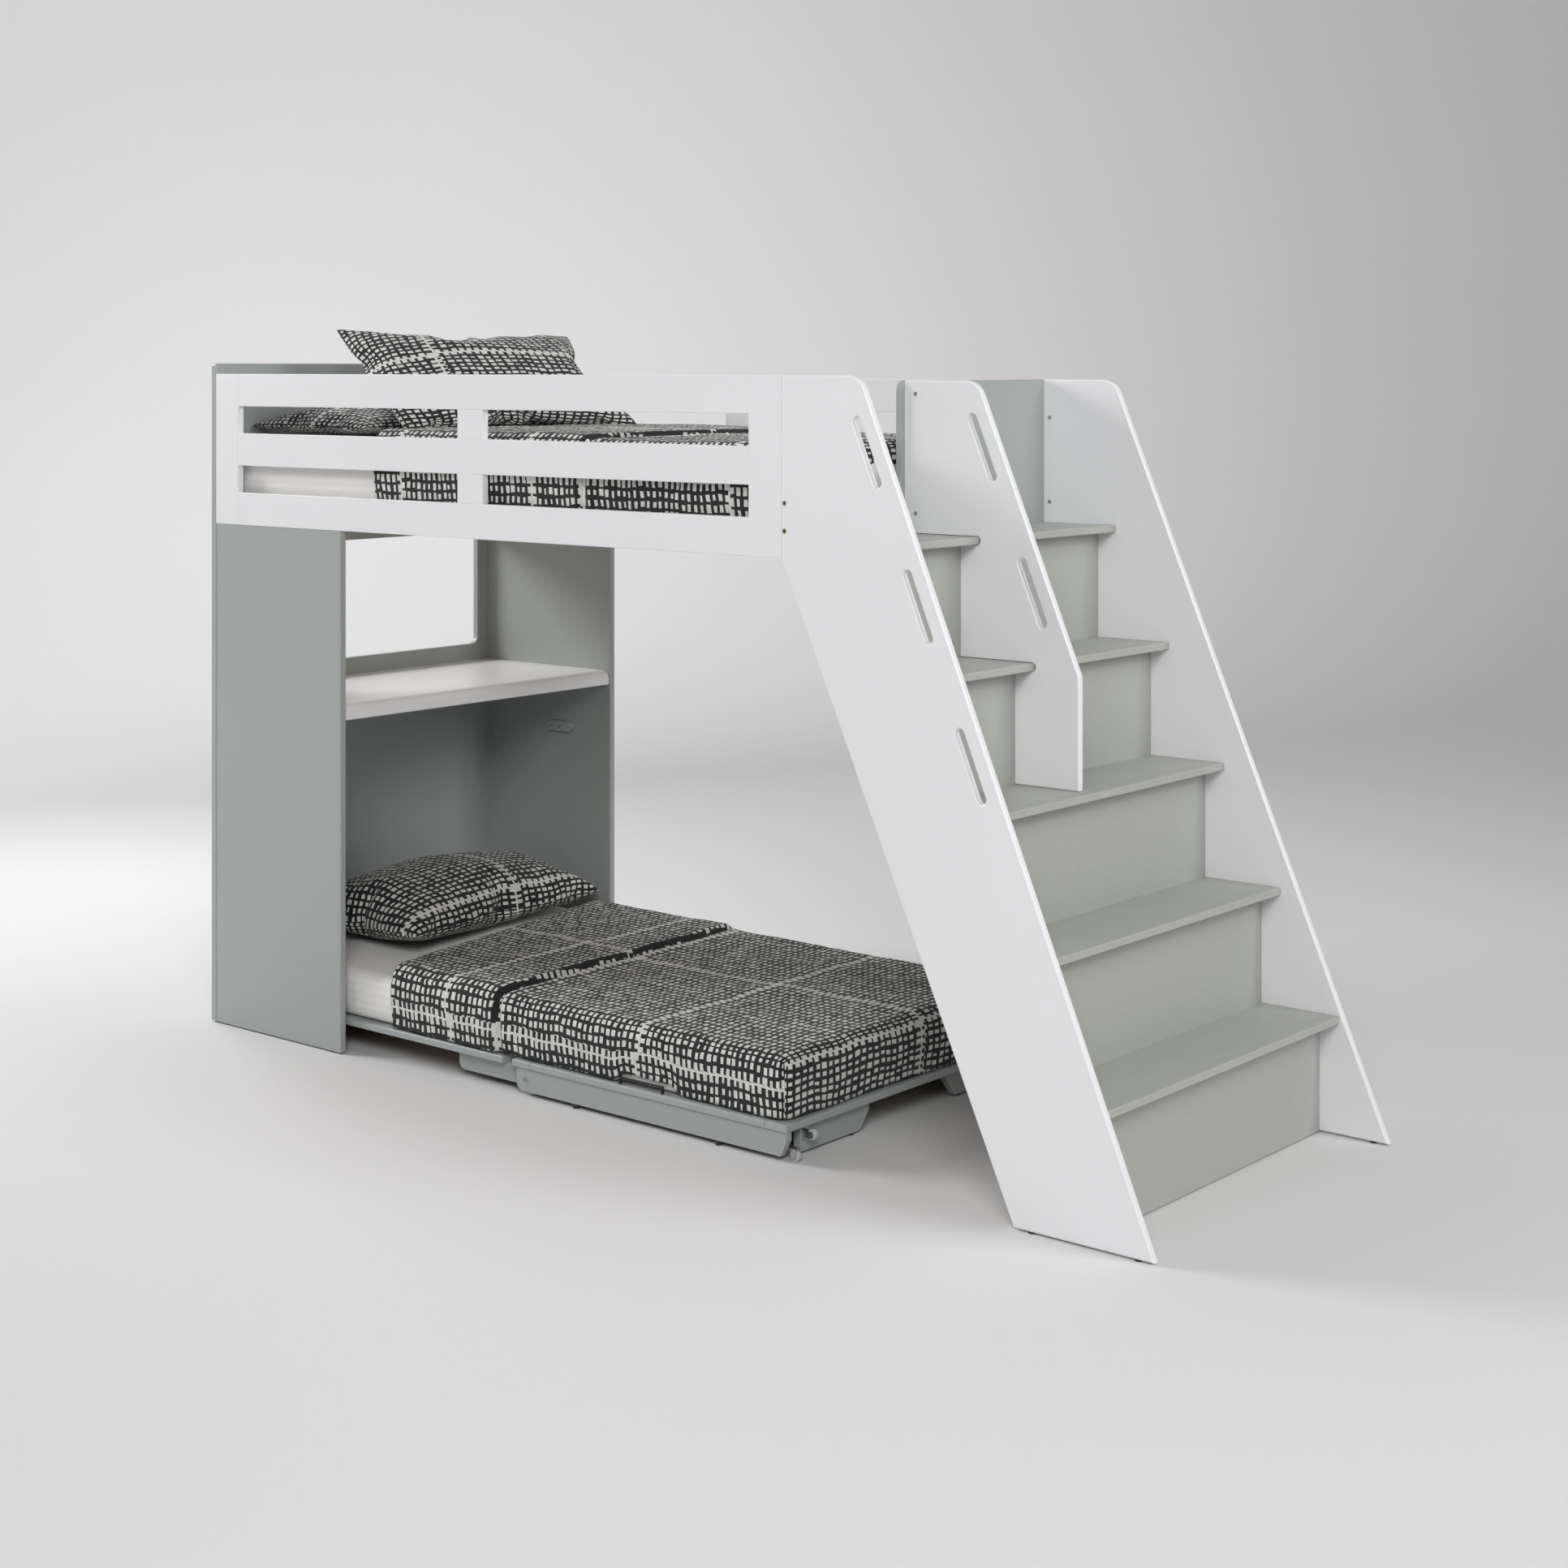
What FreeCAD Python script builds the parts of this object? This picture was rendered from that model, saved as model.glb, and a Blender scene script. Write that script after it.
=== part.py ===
"""Loft bed with a desk at one end, a staircase at the other and a folding low bed on casters below.

Frame of the model: +X runs along the bed from the desk end to the foot of the stairs, +Y runs from
the open front to the back, +Z is up. Everything is laid out first with X = 0 on the inner face of
the end panel and Y = 0 on the outer face of the front guard rail. The finished pieces are then
moved so that the origin lies on the floor under the centre of the whole footprint.
"""
import FreeCAD, Part
import math
import os

Vec = FreeCAD.Vector

# ---------------------------------------------------------------- driving dimensions, millimetres

# boards and edges
board = 19.0                # panels, rails, stringers
end_panel_t = 20.0          # end panel at the desk end
riser_t = 15.0              # stair risers
tread_t = 18.0              # stair treads
edge_r = 4.5                # rounded-over edge of the shaped boards
eased_r = 1.5               # eased edge of the straight rails and posts
floor_gap = 4.0             # height of the glides below the panels
drill_gap = 0.2             # radial clearance of a bolt or nut in its hole

# upper bed and guards
bed_space_length = 1974.0   # inside of the end panel to the end board
bed_space_width = 1017.0    # between the inner faces of the two long sides
front_top = 1767.0          # top of the front guard
rear_top = 1754.0           # top of the rear guard, end board and inner stringers
rail_height = 87.0
rail_gap = 73.0
post_width = 94.0
stile_width = 90.0
ledger = 28.0               # square section of the slat ledgers
slat_t = 15.0
slat_width = 70.0
slat_count = 13
ledger_drop = 48.0          # slat seat below the top of the bottom front rail

# end panel, leg panels and desk
end_panel_top = 1796.0
leg_panel_length = 506.0
front_leg_setback = 2.0
window_margin = 60.0        # side margin of the window in the end panel
window_sill = 953.0
window_head = 1290.0
window_r = 22.0
desk_top_z = 905.0
desk_t = 41.0
desk_depth = 500.0
desk_nose_r = 24.0          # rounded front edge of the desk
block_length = 88.0         # small rest block below the desk
block_height = 28.0
block_t = 18.0
block_x = 274.0
block_z = 715.0

# staircase
rise = 279.0
going = 150.0
step_count = 5
top_step_depth = 210.0      # top tread, from the end board to its nosing
nosing = 51.0               # overhang of a tread past the riser below it
stair_run = 949.0           # from the bed's end to the front toe of the stringers
stair_lean = 0.4152         # how far the stringers' front edge leans, per unit of height
stringer_foot_width = 333.0 # width of a stringer on the floor
stringer_corner_r = 50.0
aisle = 422.0               # clear way between the front and the middle stringer
middle_knee_run = 497.0     # from the bed's end to where the middle stringer turns upright
notch_gap = 1.5             # clearance of the middle stringer around a tread
slot_length = 165.0
slot_width = 22.0
slot_inset = 49.0           # from the leaning edge to a slot's centre line, level
slot_top_z = 1600.0
slot_pitch = 326.5
groove_width = 3.0
groove_depth = 1.2
groove_inset = (20.0, 32.0)
cleat = 28.0
cut_width = 411.0           # access cut-out in the end board, from the front stringer
cut_sill = 1506.0
cut_r = 25.0

# fasteners
bolt_r = 3.0
bolt_head_r = 5.5
bolt_head_t = 3.0
nut_r = 5.0
nut_depth = 13.0
screw_r = 3.5
screw_length = 30.0

# low folding bed
low_side_gap = 14.0         # between the low bed and the front leg panel
low_head_gap = 35.0         # from the end panel to the low bed's head end
low_head_length = 1030.0    # head section of the platform
low_gap = 31.0              # between the two sections
low_foot_length = 865.0     # foot section of the platform
low_top = 86.0              # top of the platform rails
low_rail_t = 18.0
low_rail_width = 60.0
low_cross_width = 63.0
low_edge_r = 4.0
low_slat_t = 13.0
bearer = 18.0
apron_t = 18.0
apron_setback = 6.0
apron_bottom = 12.0
apron_chamfer = 18.0
pivot_x = 73.0              # fold pivot, past the end of the head section
pivot_z = 41.0
arm_r = 21.0
arm_length = 180.0          # arm under the head section
washer_t = 4.0
leg_inset = 20.0            # end legs, from the end of the platform
leg_start = 75.0            # end legs, from the side of the platform
leg_end = 335.0
leg_bottom = 6.0
wheel_r = 12.5
wheel_w = 12.0
axle_r = 2.5
running_gap = 0.05          # radial clearance of a wheel or a bracket on its axle
bracket_t = 2.0
glide_r = 10.0

# soft goods
mattress_end_gap = 35.0
mattress_side_gap = 20.0
upper_mattress_t = 175.0
low_mattress_t = 126.0
low_mattress_inset = 15.0
duvet_t = 26.0
duvet_side_t = 8.0
duvet_start = 600.0         # head edge of the upper duvet, from the end panel
low_duvet_start = 485.0      # head edge of the low duvet at the back
low_duvet_skew = 170.0       # how much further from the head it starts at the front
soft_gap = 0.4
pillow_length = 690.0
pillow_width = 440.0
pillow_round = 0.42         # edge radius of a pillow, per unit of thickness
flat_pillow_t = 95.0
flat_pillow_x = 245.0
flat_pillow_y = 480.0
lean_pillow_t = 75.0
lean_pillow_x = 470.0
lean_pillow_back = 416.0    # from a pillow's middle to the inside of the rear guard
lean_tilt = 33.0            # degrees
lean_turn = -12.0
low_pillow_t = 185.0
low_pillow_x = 300.0
low_pillow_back = 456.0
low_pillow_turn = 4.0

# ---------------------------------------------------------------- positions worked out from them

rear_in = board + bed_space_width               # inner face of the rear side
width = rear_in + board                         # whole width
span = bed_space_length
guard_height = 3 * rail_height + 2 * rail_gap
front_low = front_top - guard_height
rear_low = rear_top - guard_height
board_face = span + board                       # stair side of the end board
stair_foot = span + stair_run                   # front toe of the stringers
middle_knee_x = span + middle_knee_run
seat_z = front_low + rail_height - ledger_drop  # top of the ledgers
slat_top = seat_z + slat_t
mid_front = board + aisle                       # front face of the middle stringer
leg_front_in = front_leg_setback + board        # inner face of the front leg panel
top_nosing = board_face + top_step_depth
centre = Vec((stair_foot - end_panel_t) / 2, width / 2, 0)

low_x0 = low_head_gap
low_x1 = low_x0 + low_head_length
low_x2 = low_x1 + low_gap
low_x3 = low_x2 + low_foot_length
low_y0 = leg_front_in + low_side_gap
low_y1 = width - low_y0
low_under = low_top - low_rail_t
pivot = (low_x1 + pivot_x, pivot_z)
foot_axle_x = low_x3 + 1.0
head_axle_x = low_x0 + wheel_r
end_wheel_z = 47.0
fold_line = low_x1 + low_gap / 2 + 8.0
low_mattress_top = low_top + soft_gap + low_mattress_t


def tread_top(step):
    return rise * step


def nosing_x(step):
    return top_nosing + going * (step_count - step)


def riser_face(step):
    return nosing_x(step) - nosing


def tread_back(step):
    if step == step_count:
        return board_face
    return riser_face(step + 1) - riser_t


# ---------------------------------------------------------------- shape helpers

def box(x, y, z):
    """A block given by its (low, high) pair along each axis."""
    return Part.makeBox(x[1] - x[0], y[1] - y[0], z[1] - z[0], Vec(x[0], y[0], z[0]))


def rod(start, axis, radius, length):
    return Part.makeCylinder(radius, length, Vec(*start), Vec(*axis))


def join(solids):
    return Part.makeCompound(solids)


def rounded_face(points, radii, to_space):
    """A flat face through the points, each corner rounded by its own radius."""
    corners = []
    count = len(points)
    for i in range(count):
        here = Vec(points[i][0], points[i][1], 0)
        back = (Vec(*points[i - 1], 0) - here).normalize()
        ahead = (Vec(*points[(i + 1) % count], 0) - here).normalize()
        radius = radii[i]
        if radius <= 0:
            corners.append((here, None, here))
            continue
        half = back.getAngle(ahead) / 2
        bisector = (back + ahead).normalize()
        middle = here + bisector * (radius / math.sin(half) - radius)
        reach = radius / math.tan(half)
        corners.append((here + back * reach, middle, here + ahead * reach))
    edges = []
    for i in range(count):
        start, middle, end = corners[i]
        if middle is not None:
            arc = Part.Arc(to_space(start), to_space(middle), to_space(end))
            edges.append(arc.toShape())
        following = corners[(i + 1) % count][0]
        if (following - end).Length > 1e-6:
            edges.append(Part.makeLine(to_space(end), to_space(following)))
    return Part.Face(Part.Wire(edges))


def upright_board(points, radii, y, thickness):
    """A board standing along X: its outline is given as (x, z)."""
    face = rounded_face(points, radii, lambda p: Vec(p.x, y, p.y))
    return face.extrude(Vec(0, thickness, 0))


def cross_board(points, radii, x, thickness):
    """A board standing along Y: its outline is given as (y, z)."""
    face = rounded_face(points, radii, lambda p: Vec(x, p.x, p.y))
    return face.extrude(Vec(thickness, 0, 0))


def round_over(solid, axis, planes, radius):
    """Round every edge that lies in one of the given planes across the axis."""
    low = {"x": "XMin", "y": "YMin", "z": "ZMin"}[axis]
    high = {"x": "XMax", "y": "YMax", "z": "ZMax"}[axis]
    chosen = []
    for edge in solid.Edges:
        bounds = edge.BoundBox
        for plane in planes:
            if abs(getattr(bounds, low) - plane) < 1e-4 and abs(getattr(bounds, high) - plane) < 1e-4:
                chosen.append(edge)
    return solid.makeFillet(radius, chosen)


def eased(solid, radius=eased_r):
    return solid.makeFillet(radius, solid.Edges)


def drilled(solid, tools):
    return solid.cut(join(tools)) if tools else solid


def rectangle(a, b):
    return [(a[0], b[0]), (a[1], b[0]), (a[1], b[1]), (a[0], b[1])]


def mirrored(solid):
    """The same piece on the other long side."""
    return solid.mirror(Vec(0, width / 2, 0), Vec(0, 1, 0))


# ---------------------------------------------------------------- fasteners and their holes

def panel_bolt_spots():
    """Bolts through the end panel into the leg panels: (y, z)."""
    rows = (684.0, 1222.0)
    front_y = front_leg_setback + board / 2
    rear_y = rear_in + board / 2
    return [(y, z) for y in (front_y, rear_y) for z in rows]


panel_nut_x = 36.0


def stringer_bolt_spots():
    """Bolts through the front stringer into the end board: (x, z)."""
    return [(span + board / 2, z) for z in (1420.0, 1482.0)]


def middle_bolt_spots():
    """Bolts through the end board into the middle stringer: z."""
    return (1442.0, 1722.0)


def rear_bolt_spots():
    """Bolts between the rear post and the rear stringer: z."""
    return (1446.0, 1658.0)


middle_nut_x = board_face + 30.0
rear_nut_x = span + 35.0
mid_axis_y = mid_front + board / 2
rear_axis_y = rear_in + board / 2


def bolt(start, axis, length, extra=0.0):
    """A headed bolt, or with extra the hole for it."""
    head = rod(start, axis, bolt_head_r + extra, bolt_head_t)
    shank = rod(start, axis, bolt_r + extra, length)
    return head.fuse(shank)


def connector_bolts(extra=0.0):
    bolts = []
    for y, z in panel_bolt_spots():
        bolts.append(bolt((-end_panel_t, y, z), (1, 0, 0), end_panel_t + panel_nut_x - nut_r, extra))
    for z in middle_bolt_spots():
        bolts.append(bolt((span, mid_axis_y, z), (1, 0, 0), middle_nut_x - span - nut_r, extra))
    for z in rear_bolt_spots():
        start = (span - post_width / 2, rear_axis_y, z)
        bolts.append(bolt(start, (1, 0, 0), rear_nut_x - start[0] - nut_r, extra))
    return bolts


def barrel_nuts(extra=0.0):
    """Cross dowels set into the boards' inner faces."""
    spots = []
    for y, z in panel_bolt_spots():
        inner = leg_front_in if y < width / 2 else rear_in
        inward = -1 if y < width / 2 else 1
        spots.append((panel_nut_x, inner, z, inward))
    for z in middle_bolt_spots():
        spots.append((middle_nut_x, mid_front, z, 1))
    for z in rear_bolt_spots():
        spots.append((rear_nut_x, rear_in, z, 1))
    return [rod((x, y, z), (0, side, 0), nut_r + extra, nut_depth) for x, y, z, side in spots]


def stringer_bolts(extra=0.0):
    return [bolt((x, 0, z), (0, 1, 0), board + 35.0, extra) for x, z in stringer_bolt_spots()]


def tread_screws(extra=0.0):
    """Two screws down through each end of each tread into its cleats."""
    screws = []
    for step in range(1, step_count + 1):
        for y in (board + cleat / 2, rear_in - cleat / 2):
            for back in (90.0, 154.0):
                top = (nosing_x(step) - back, y, tread_top(step))
                screws.append(rod(top, (0, 0, -1), screw_r + extra, screw_length))
    return screws


def holes_for(names):
    tools = []
    for name in names:
        tools += {"bolts": connector_bolts, "nuts": barrel_nuts,
                  "stringer": stringer_bolts, "screws": tread_screws}[name](drill_gap)
    return tools


# ---------------------------------------------------------------- desk end

def make_end_panel():
    outline = rectangle((0, width), (floor_gap, end_panel_top))
    panel = cross_board(outline, [3, 3, 8, 8], -end_panel_t, end_panel_t)
    window = rectangle((window_margin, width - window_margin), (window_sill, window_head))
    panel = panel.cut(cross_board(window, [window_r] * 4, -end_panel_t - 1, end_panel_t + 2))
    panel = round_over(panel, "x", (-end_panel_t, 0), edge_r / 1.5)
    return drilled(panel, holes_for(["bolts"]))


def make_leg_panel(y, top):
    panel = box((0, leg_panel_length), (y, y + board), (floor_gap, top))
    edges = []
    for edge in panel.Edges:
        bounds = edge.BoundBox
        upright = bounds.ZLength > top / 2
        if upright and abs(bounds.XMin - leg_panel_length) < 1e-4:
            edges.append(edge)
    panel = panel.makeFillet(edge_r / 1.5, edges)
    return drilled(panel, holes_for(["bolts", "nuts"]))


def make_desk():
    desk = box((0, desk_depth), (leg_front_in, rear_in), (desk_top_z - desk_t, desk_top_z))
    upper = []
    lower = []
    for edge in desk.Edges:
        bounds = edge.BoundBox
        if abs(bounds.XMin - desk_depth) < 1e-4 and bounds.YLength > 10:
            (upper if bounds.ZMin > desk_top_z - 1 else lower).append(edge)
    desk = desk.makeFillet(desk_nose_r, upper)
    lower = [e for e in desk.Edges if e.BoundBox.YLength > 10 and abs(e.BoundBox.XMin - desk_depth) < 1e-4
             and e.BoundBox.ZMax < desk_top_z - desk_t + 1]
    return desk.makeFillet(4.0, lower)


def make_rest_blocks():
    """One block on each leg panel, each with two screw holes."""
    outline = rectangle((block_x, block_x + block_length), (block_z, block_z + block_height))
    block = upright_board(outline, [3, 12, 12, 3], rear_in - block_t, block_t)
    block = round_over(block, "y", (rear_in - block_t,), 2.0)
    holes = []
    for along in (14.0, 46.0):
        spot = (block_x + along, rear_in - block_t, block_z + block_height / 2)
        holes.append(rod(spot, (0, 1, 0), 4.5, 8.0))
        holes.append(rod(spot, (0, 1, 0), 2.2, block_t))
    block = block.cut(join(holes))
    other = block.mirror(Vec(0, (leg_front_in + rear_in) / 2, 0), Vec(0, 1, 0))
    return join([block, other])


# ---------------------------------------------------------------- guards

def rail_levels(low):
    step = rail_height + rail_gap
    return [(low + i * step, low + i * step + rail_height) for i in range(3)]


def make_guard_rail(y, low, level):
    z = rail_levels(low)[level]
    return eased(box((post_width, span - post_width), (y, y + board), z))


def make_guard_post(y, low, x):
    return eased(box((x, x + post_width), (y, y + board), (low, low + guard_height)))


def make_stiles(y, low):
    levels = rail_levels(low)
    x = (span / 2 - stile_width / 2, span / 2 + stile_width / 2)
    gaps = [(levels[i][1], levels[i + 1][0]) for i in range(2)]
    return [eased(box(x, (y, y + board), gap)) for gap in gaps]


def make_end_board():
    cut_y = board + cut_width
    outline = [(board, rear_low), (rear_in, rear_low), (rear_in, rear_top),
               (cut_y, rear_top), (cut_y, cut_sill), (board, cut_sill)]
    panel = cross_board(outline, [0, 0, 0, cut_r, cut_r, 0], span, board)
    rim = []
    for edge in panel.Edges:
        bounds = edge.BoundBox
        flat = bounds.XLength < 1e-4
        if flat and bounds.YMax < rear_in - 1 and bounds.YMin > board + 1e-3 and bounds.ZMin > rear_low + 1:
            rim.append(edge)
    panel = panel.makeFillet(edge_r / 1.5, rim)
    return drilled(panel, holes_for(["bolts", "stringer"]))


def make_slats():
    margin = 40.0
    pitch = (span - 2 * margin - slat_width) / (slat_count - 1)
    slats = []
    for i in range(slat_count):
        x = margin + i * pitch
        slats.append(box((x, x + slat_width), (board, rear_in), (seat_z, slat_top)))
    return join(slats)


def make_ledgers():
    z = (seat_z - ledger, seat_z)
    return join([box((0, span), (board, board + ledger), z), box((0, span), (rear_in - ledger, rear_in), z)])


# ---------------------------------------------------------------- staircase

def front_edge_x(z):
    """The stringers' leaning front edge."""
    return stair_foot - stair_lean * (z - floor_gap)


def handhold(y, z):
    """A slanting slot through a stringer, parallel to its leaning edge."""
    lean = math.atan(stair_lean)
    along = Vec(-math.sin(lean), math.cos(lean), 0)
    across = Vec(math.cos(lean), math.sin(lean), 0)
    middle = Vec(front_edge_x(z) - slot_inset, z, 0)
    corners = []
    for a, b in ((-1, -1), (1, -1), (1, 1), (-1, 1)):
        corner = middle + across * (a * slot_width / 2) + along * (b * slot_length / 2)
        corners.append((corner.x, corner.y))
    return upright_board(corners, [slot_width / 2] * 4, y - 1, board + 2)


def make_outer_stringer(y, top, slots):
    outline = [(span, top), (front_edge_x(top), top), (stair_foot, floor_gap),
               (stair_foot - stringer_foot_width, floor_gap), (span, front_low)]
    stringer = upright_board(outline, [0, stringer_corner_r, 0, 0, 0], y, board)
    for i in range(slots):
        stringer = stringer.cut(handhold(y, slot_top_z - i * slot_pitch))
    stringer = round_over(stringer, "y", (y, y + board), edge_r)
    return drilled(stringer, holes_for(["bolts", "nuts", "stringer"]))


def make_middle_stringer():
    top = rear_top
    base = tread_top(3)
    knee_z = floor_gap + (stair_foot - middle_knee_x) / stair_lean
    outline = [(board_face, top), (front_edge_x(top), top), (middle_knee_x, knee_z), (middle_knee_x, base)]
    radii = [0, stringer_corner_r, 10, 3]
    for step in (4, 5):
        back = riser_face(step)
        tip = nosing_x(step) + 3 * notch_gap
        low = tread_top(step) - tread_t - notch_gap
        high = tread_top(step) + notch_gap
        outline += [(back, tread_top(step - 1) + (notch_gap if step > 4 else 0)), (back, low), (tip, low), (tip, high)]
        end_r = (high - low) / 2 - 0.01
        radii += [0, 0, end_r, end_r]
    outline.append((board_face, tread_top(5) + notch_gap))
    radii.append(0)
    stringer = upright_board(outline, radii, mid_front, board)
    for i in range(2):
        stringer = stringer.cut(handhold(mid_front, slot_top_z - i * slot_pitch))
    rim = []
    for edge in stringer.Edges:
        bounds = edge.BoundBox
        in_face = bounds.YLength < 1e-4
        leaning_side = bounds.XMax > front_edge_x(max(bounds.ZMax, knee_z)) - slot_inset - slot_width * 2
        at_tread = bounds.ZLength < 25 and bounds.ZMax < tread_top(5) + 5 and bounds.XMax < middle_knee_x - 30
        if in_face and leaning_side and not at_tread and bounds.XMin > board_face + 1:
            rim.append(edge)
    stringer = stringer.makeFillet(edge_r, rim)
    return drilled(stringer, holes_for(["bolts", "nuts"]))


def make_tread(step):
    x = (tread_back(step), nosing_x(step))
    z = (tread_top(step) - tread_t, tread_top(step))
    tread = box(x, (board, rear_in), z)
    nose = []
    for edge in tread.Edges:
        bounds = edge.BoundBox
        if abs(bounds.XMin - x[1]) < 1e-4 and bounds.YLength > 10:
            nose.append(edge)
    tread = tread.makeFillet(3.0, nose)
    grooves = []
    for inset in groove_inset:
        groove_x = (x[1] - inset - groove_width, x[1] - inset)
        grooves.append(box(groove_x, (board, rear_in), (z[1] - groove_depth, z[1] + 1)))
    return drilled(tread.cut(join(grooves)), holes_for(["screws"]))


def make_riser(step):
    face = riser_face(step)
    low = floor_gap if step == 1 else tread_top(step - 1)
    return box((face - riser_t, face), (board, rear_in), (low, tread_top(step) - tread_t))


def make_cleats():
    """Square battens that carry the treads' ends on the stringers."""
    cleats = []
    for step in range(1, step_count + 1):
        x = (nosing_x(step) - 190.0, nosing_x(step) - nosing - riser_t - 5.0)
        under = tread_top(step) - tread_t
        for y in ((board, board + cleat), (rear_in - cleat, rear_in)):
            cleats.append(box(x, y, (under - cleat, under)))
    return drilled(join(cleats), holes_for(["screws"]))


def make_floor_glides():
    spots = []
    for x in (40.0, leg_panel_length - 40.0):
        spots.append((x, front_leg_setback + board / 2))
        spots.append((x, rear_in + board / 2))
    for y in (60.0, width / 2, width - 60.0):
        spots.append((-end_panel_t / 2, y))
    for x in (stair_foot - stringer_foot_width + 40.0, stair_foot - 40.0):
        spots.append((x, board / 2))
        spots.append((x, rear_in + board / 2))
    return join([rod((x, y, 0), (0, 0, 1), 8.0, floor_gap) for x, y in spots])


# ---------------------------------------------------------------- low folding bed

def both_sides(solid):
    return [solid, mirrored(solid)]


def low_bearer(x):
    """The batten under a side rail's inner edge, which carries the slats."""
    y = low_y0 + low_rail_width
    return box(x, (y - bearer / 2, y + bearer / 2), (low_under - bearer, low_under))


def make_head_frame():
    z = (low_under, low_top)
    side = eased(box((low_x0, low_x1), (low_y0, low_y0 + low_rail_width), z), low_edge_r)
    inner = (low_y0 + low_rail_width, low_y1 - low_rail_width)
    crosses = []
    for x in ((low_x0, low_x0 + low_cross_width), (low_x1 - low_cross_width, low_x1)):
        crosses.append(eased(box(x, inner, z), low_edge_r))
    batten = low_bearer((low_x0 + low_cross_width, low_x1 - low_cross_width))
    return join(both_sides(side) + crosses + both_sides(batten))


def make_foot_frame():
    z = (low_under, low_top)
    side_x = (low_x2 + low_cross_width, low_x3 - low_cross_width)
    side = eased(box(side_x, (low_y0, low_y0 + low_rail_width), z), low_edge_r)
    crosses = []
    for x in ((low_x2, side_x[0]), (side_x[1], low_x3)):
        crosses.append(eased(box(x, (low_y0, low_y1), z), low_edge_r))
    return join(both_sides(side) + crosses + both_sides(low_bearer(side_x)))


def make_low_slats(x0, x1, count):
    """Slats between the cross rails, lying on the bearers."""
    inner = (low_y0 + low_rail_width, low_y1 - low_rail_width)
    free = (x1 - x0) - count * slat_width
    gap = free / (count + 1)
    slats = []
    for i in range(count):
        x = x0 + gap + i * (slat_width + gap)
        slats.append(box((x, x + slat_width), inner, (low_under, low_under + low_slat_t)))
    return join(slats)


def pivot_rod(radius, y0, y1):
    return rod((pivot[0], y0, pivot[1]), (0, 1, 0), radius, y1 - y0)


apron_y = low_y0 + apron_setback
arm_y = apron_y + apron_t + washer_t


def make_foot_apron():
    x0 = pivot[0] - 29.0
    outline = [(x0, apron_bottom), (low_x3 - 4 - apron_chamfer, apron_bottom),
               (low_x3 - 4, apron_bottom + 2 * apron_chamfer), (low_x3 - 4, low_under), (x0, low_under)]
    apron = upright_board(outline, [20, 0, 0, 0, 3], apron_y, apron_t)
    return apron.cut(pivot_rod(bolt_r + running_gap, apron_y - 1, apron_y + apron_t + 1))


def make_head_arm():
    """The arm under the head section that reaches past it to the pivot."""
    x0 = low_x1 - arm_length
    tip = pivot[0] + arm_r
    low = pivot[1] - arm_r
    high = pivot[1] + arm_r
    outline = [(x0, low), (tip, low), (tip, high), (low_x1, high), (low_x1, low_under), (x0, low_under)]
    round_r = arm_r - 0.01
    arm = upright_board(outline, [20, round_r, round_r, 0, 0, 3], arm_y, apron_t)
    return arm.cut(pivot_rod(bolt_r + running_gap, arm_y - 1, arm_y + apron_t + 1))


def make_pivot_bolt():
    """Bolt with a flat head outside and a lock nut inside, and the washer between the boards."""
    head = pivot_rod(bolt_head_r + 1.5, apron_y - 2.5, apron_y)
    shank = pivot_rod(bolt_r, apron_y - 2.5, arm_y + apron_t + 6)
    nut = pivot_rod(6.5, arm_y + apron_t + 0.3, arm_y + apron_t + 6)
    return head.fuse(shank).fuse(nut)


def make_pivot_washer():
    washer = pivot_rod(9.0, apron_y + apron_t, arm_y - 0.3)
    return washer.cut(pivot_rod(bolt_r + drill_gap, apron_y, arm_y + 1))


def make_end_leg(x):
    low = leg_bottom
    outline = [(low_y0 + leg_start, low), (low_y0 + leg_end - 35, low), (low_y0 + leg_end, low + 42),
               (low_y0 + leg_end, low_under), (low_y0 + leg_start, low_under)]
    return cross_board(outline, [0] * 5, x, apron_t)


# Casters. A wheel turns about Y on a short axle held by two steel ears.

floor_wheel_y = apron_y + apron_t + 9.0
end_wheel_y = low_y0 + leg_start + 17.0
ear_gap = 0.8
foot_leg_face = low_x3 - leg_inset
head_leg_face = low_x0 + leg_inset + 9.0
head_wheel_y = low_y0 + leg_start + 24.0


def make_wheel(x, y, z):
    """A small hard wheel with a crowned tread and a bored hub."""
    wheel = rod((x, y - wheel_w / 2, z), (0, 1, 0), wheel_r, wheel_w)
    wheel = wheel.makeFillet(2.0, [e for e in wheel.Edges if len(e.Vertexes) == 1])
    dish = rod((x, y - wheel_w / 2, z), (0, 1, 0), wheel_r - 4, 1.5)
    core = rod((x, y - wheel_w / 2, z), (0, 1, 0), axle_r + 2.5, 1.5)
    ring = dish.cut(core)
    other = ring.mirror(Vec(x, y, z), Vec(0, 1, 0))
    bore = rod((x, y - wheel_w, z), (0, 1, 0), axle_r + running_gap, 2 * wheel_w)
    return wheel.cut(ring).cut(other).cut(bore)


def make_axle(x, y, z):
    reach = wheel_w / 2 + ear_gap + bracket_t + 0.7
    return rod((x, y - reach, z), (0, 1, 0), axle_r, 2 * reach)


def ear_pair(outline, radii, y, x, z, bore_r):
    ears = []
    for side in (-1, 1):
        inner = y + side * (wheel_w / 2 + ear_gap)
        start = min(inner, inner + side * bracket_t)
        ear = upright_board(outline, radii, start, bracket_t)
        ears.append(ear.cut(rod((x, start - 1, z), (0, 1, 0), bore_r, bracket_t + 2)))
    return ears


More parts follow.
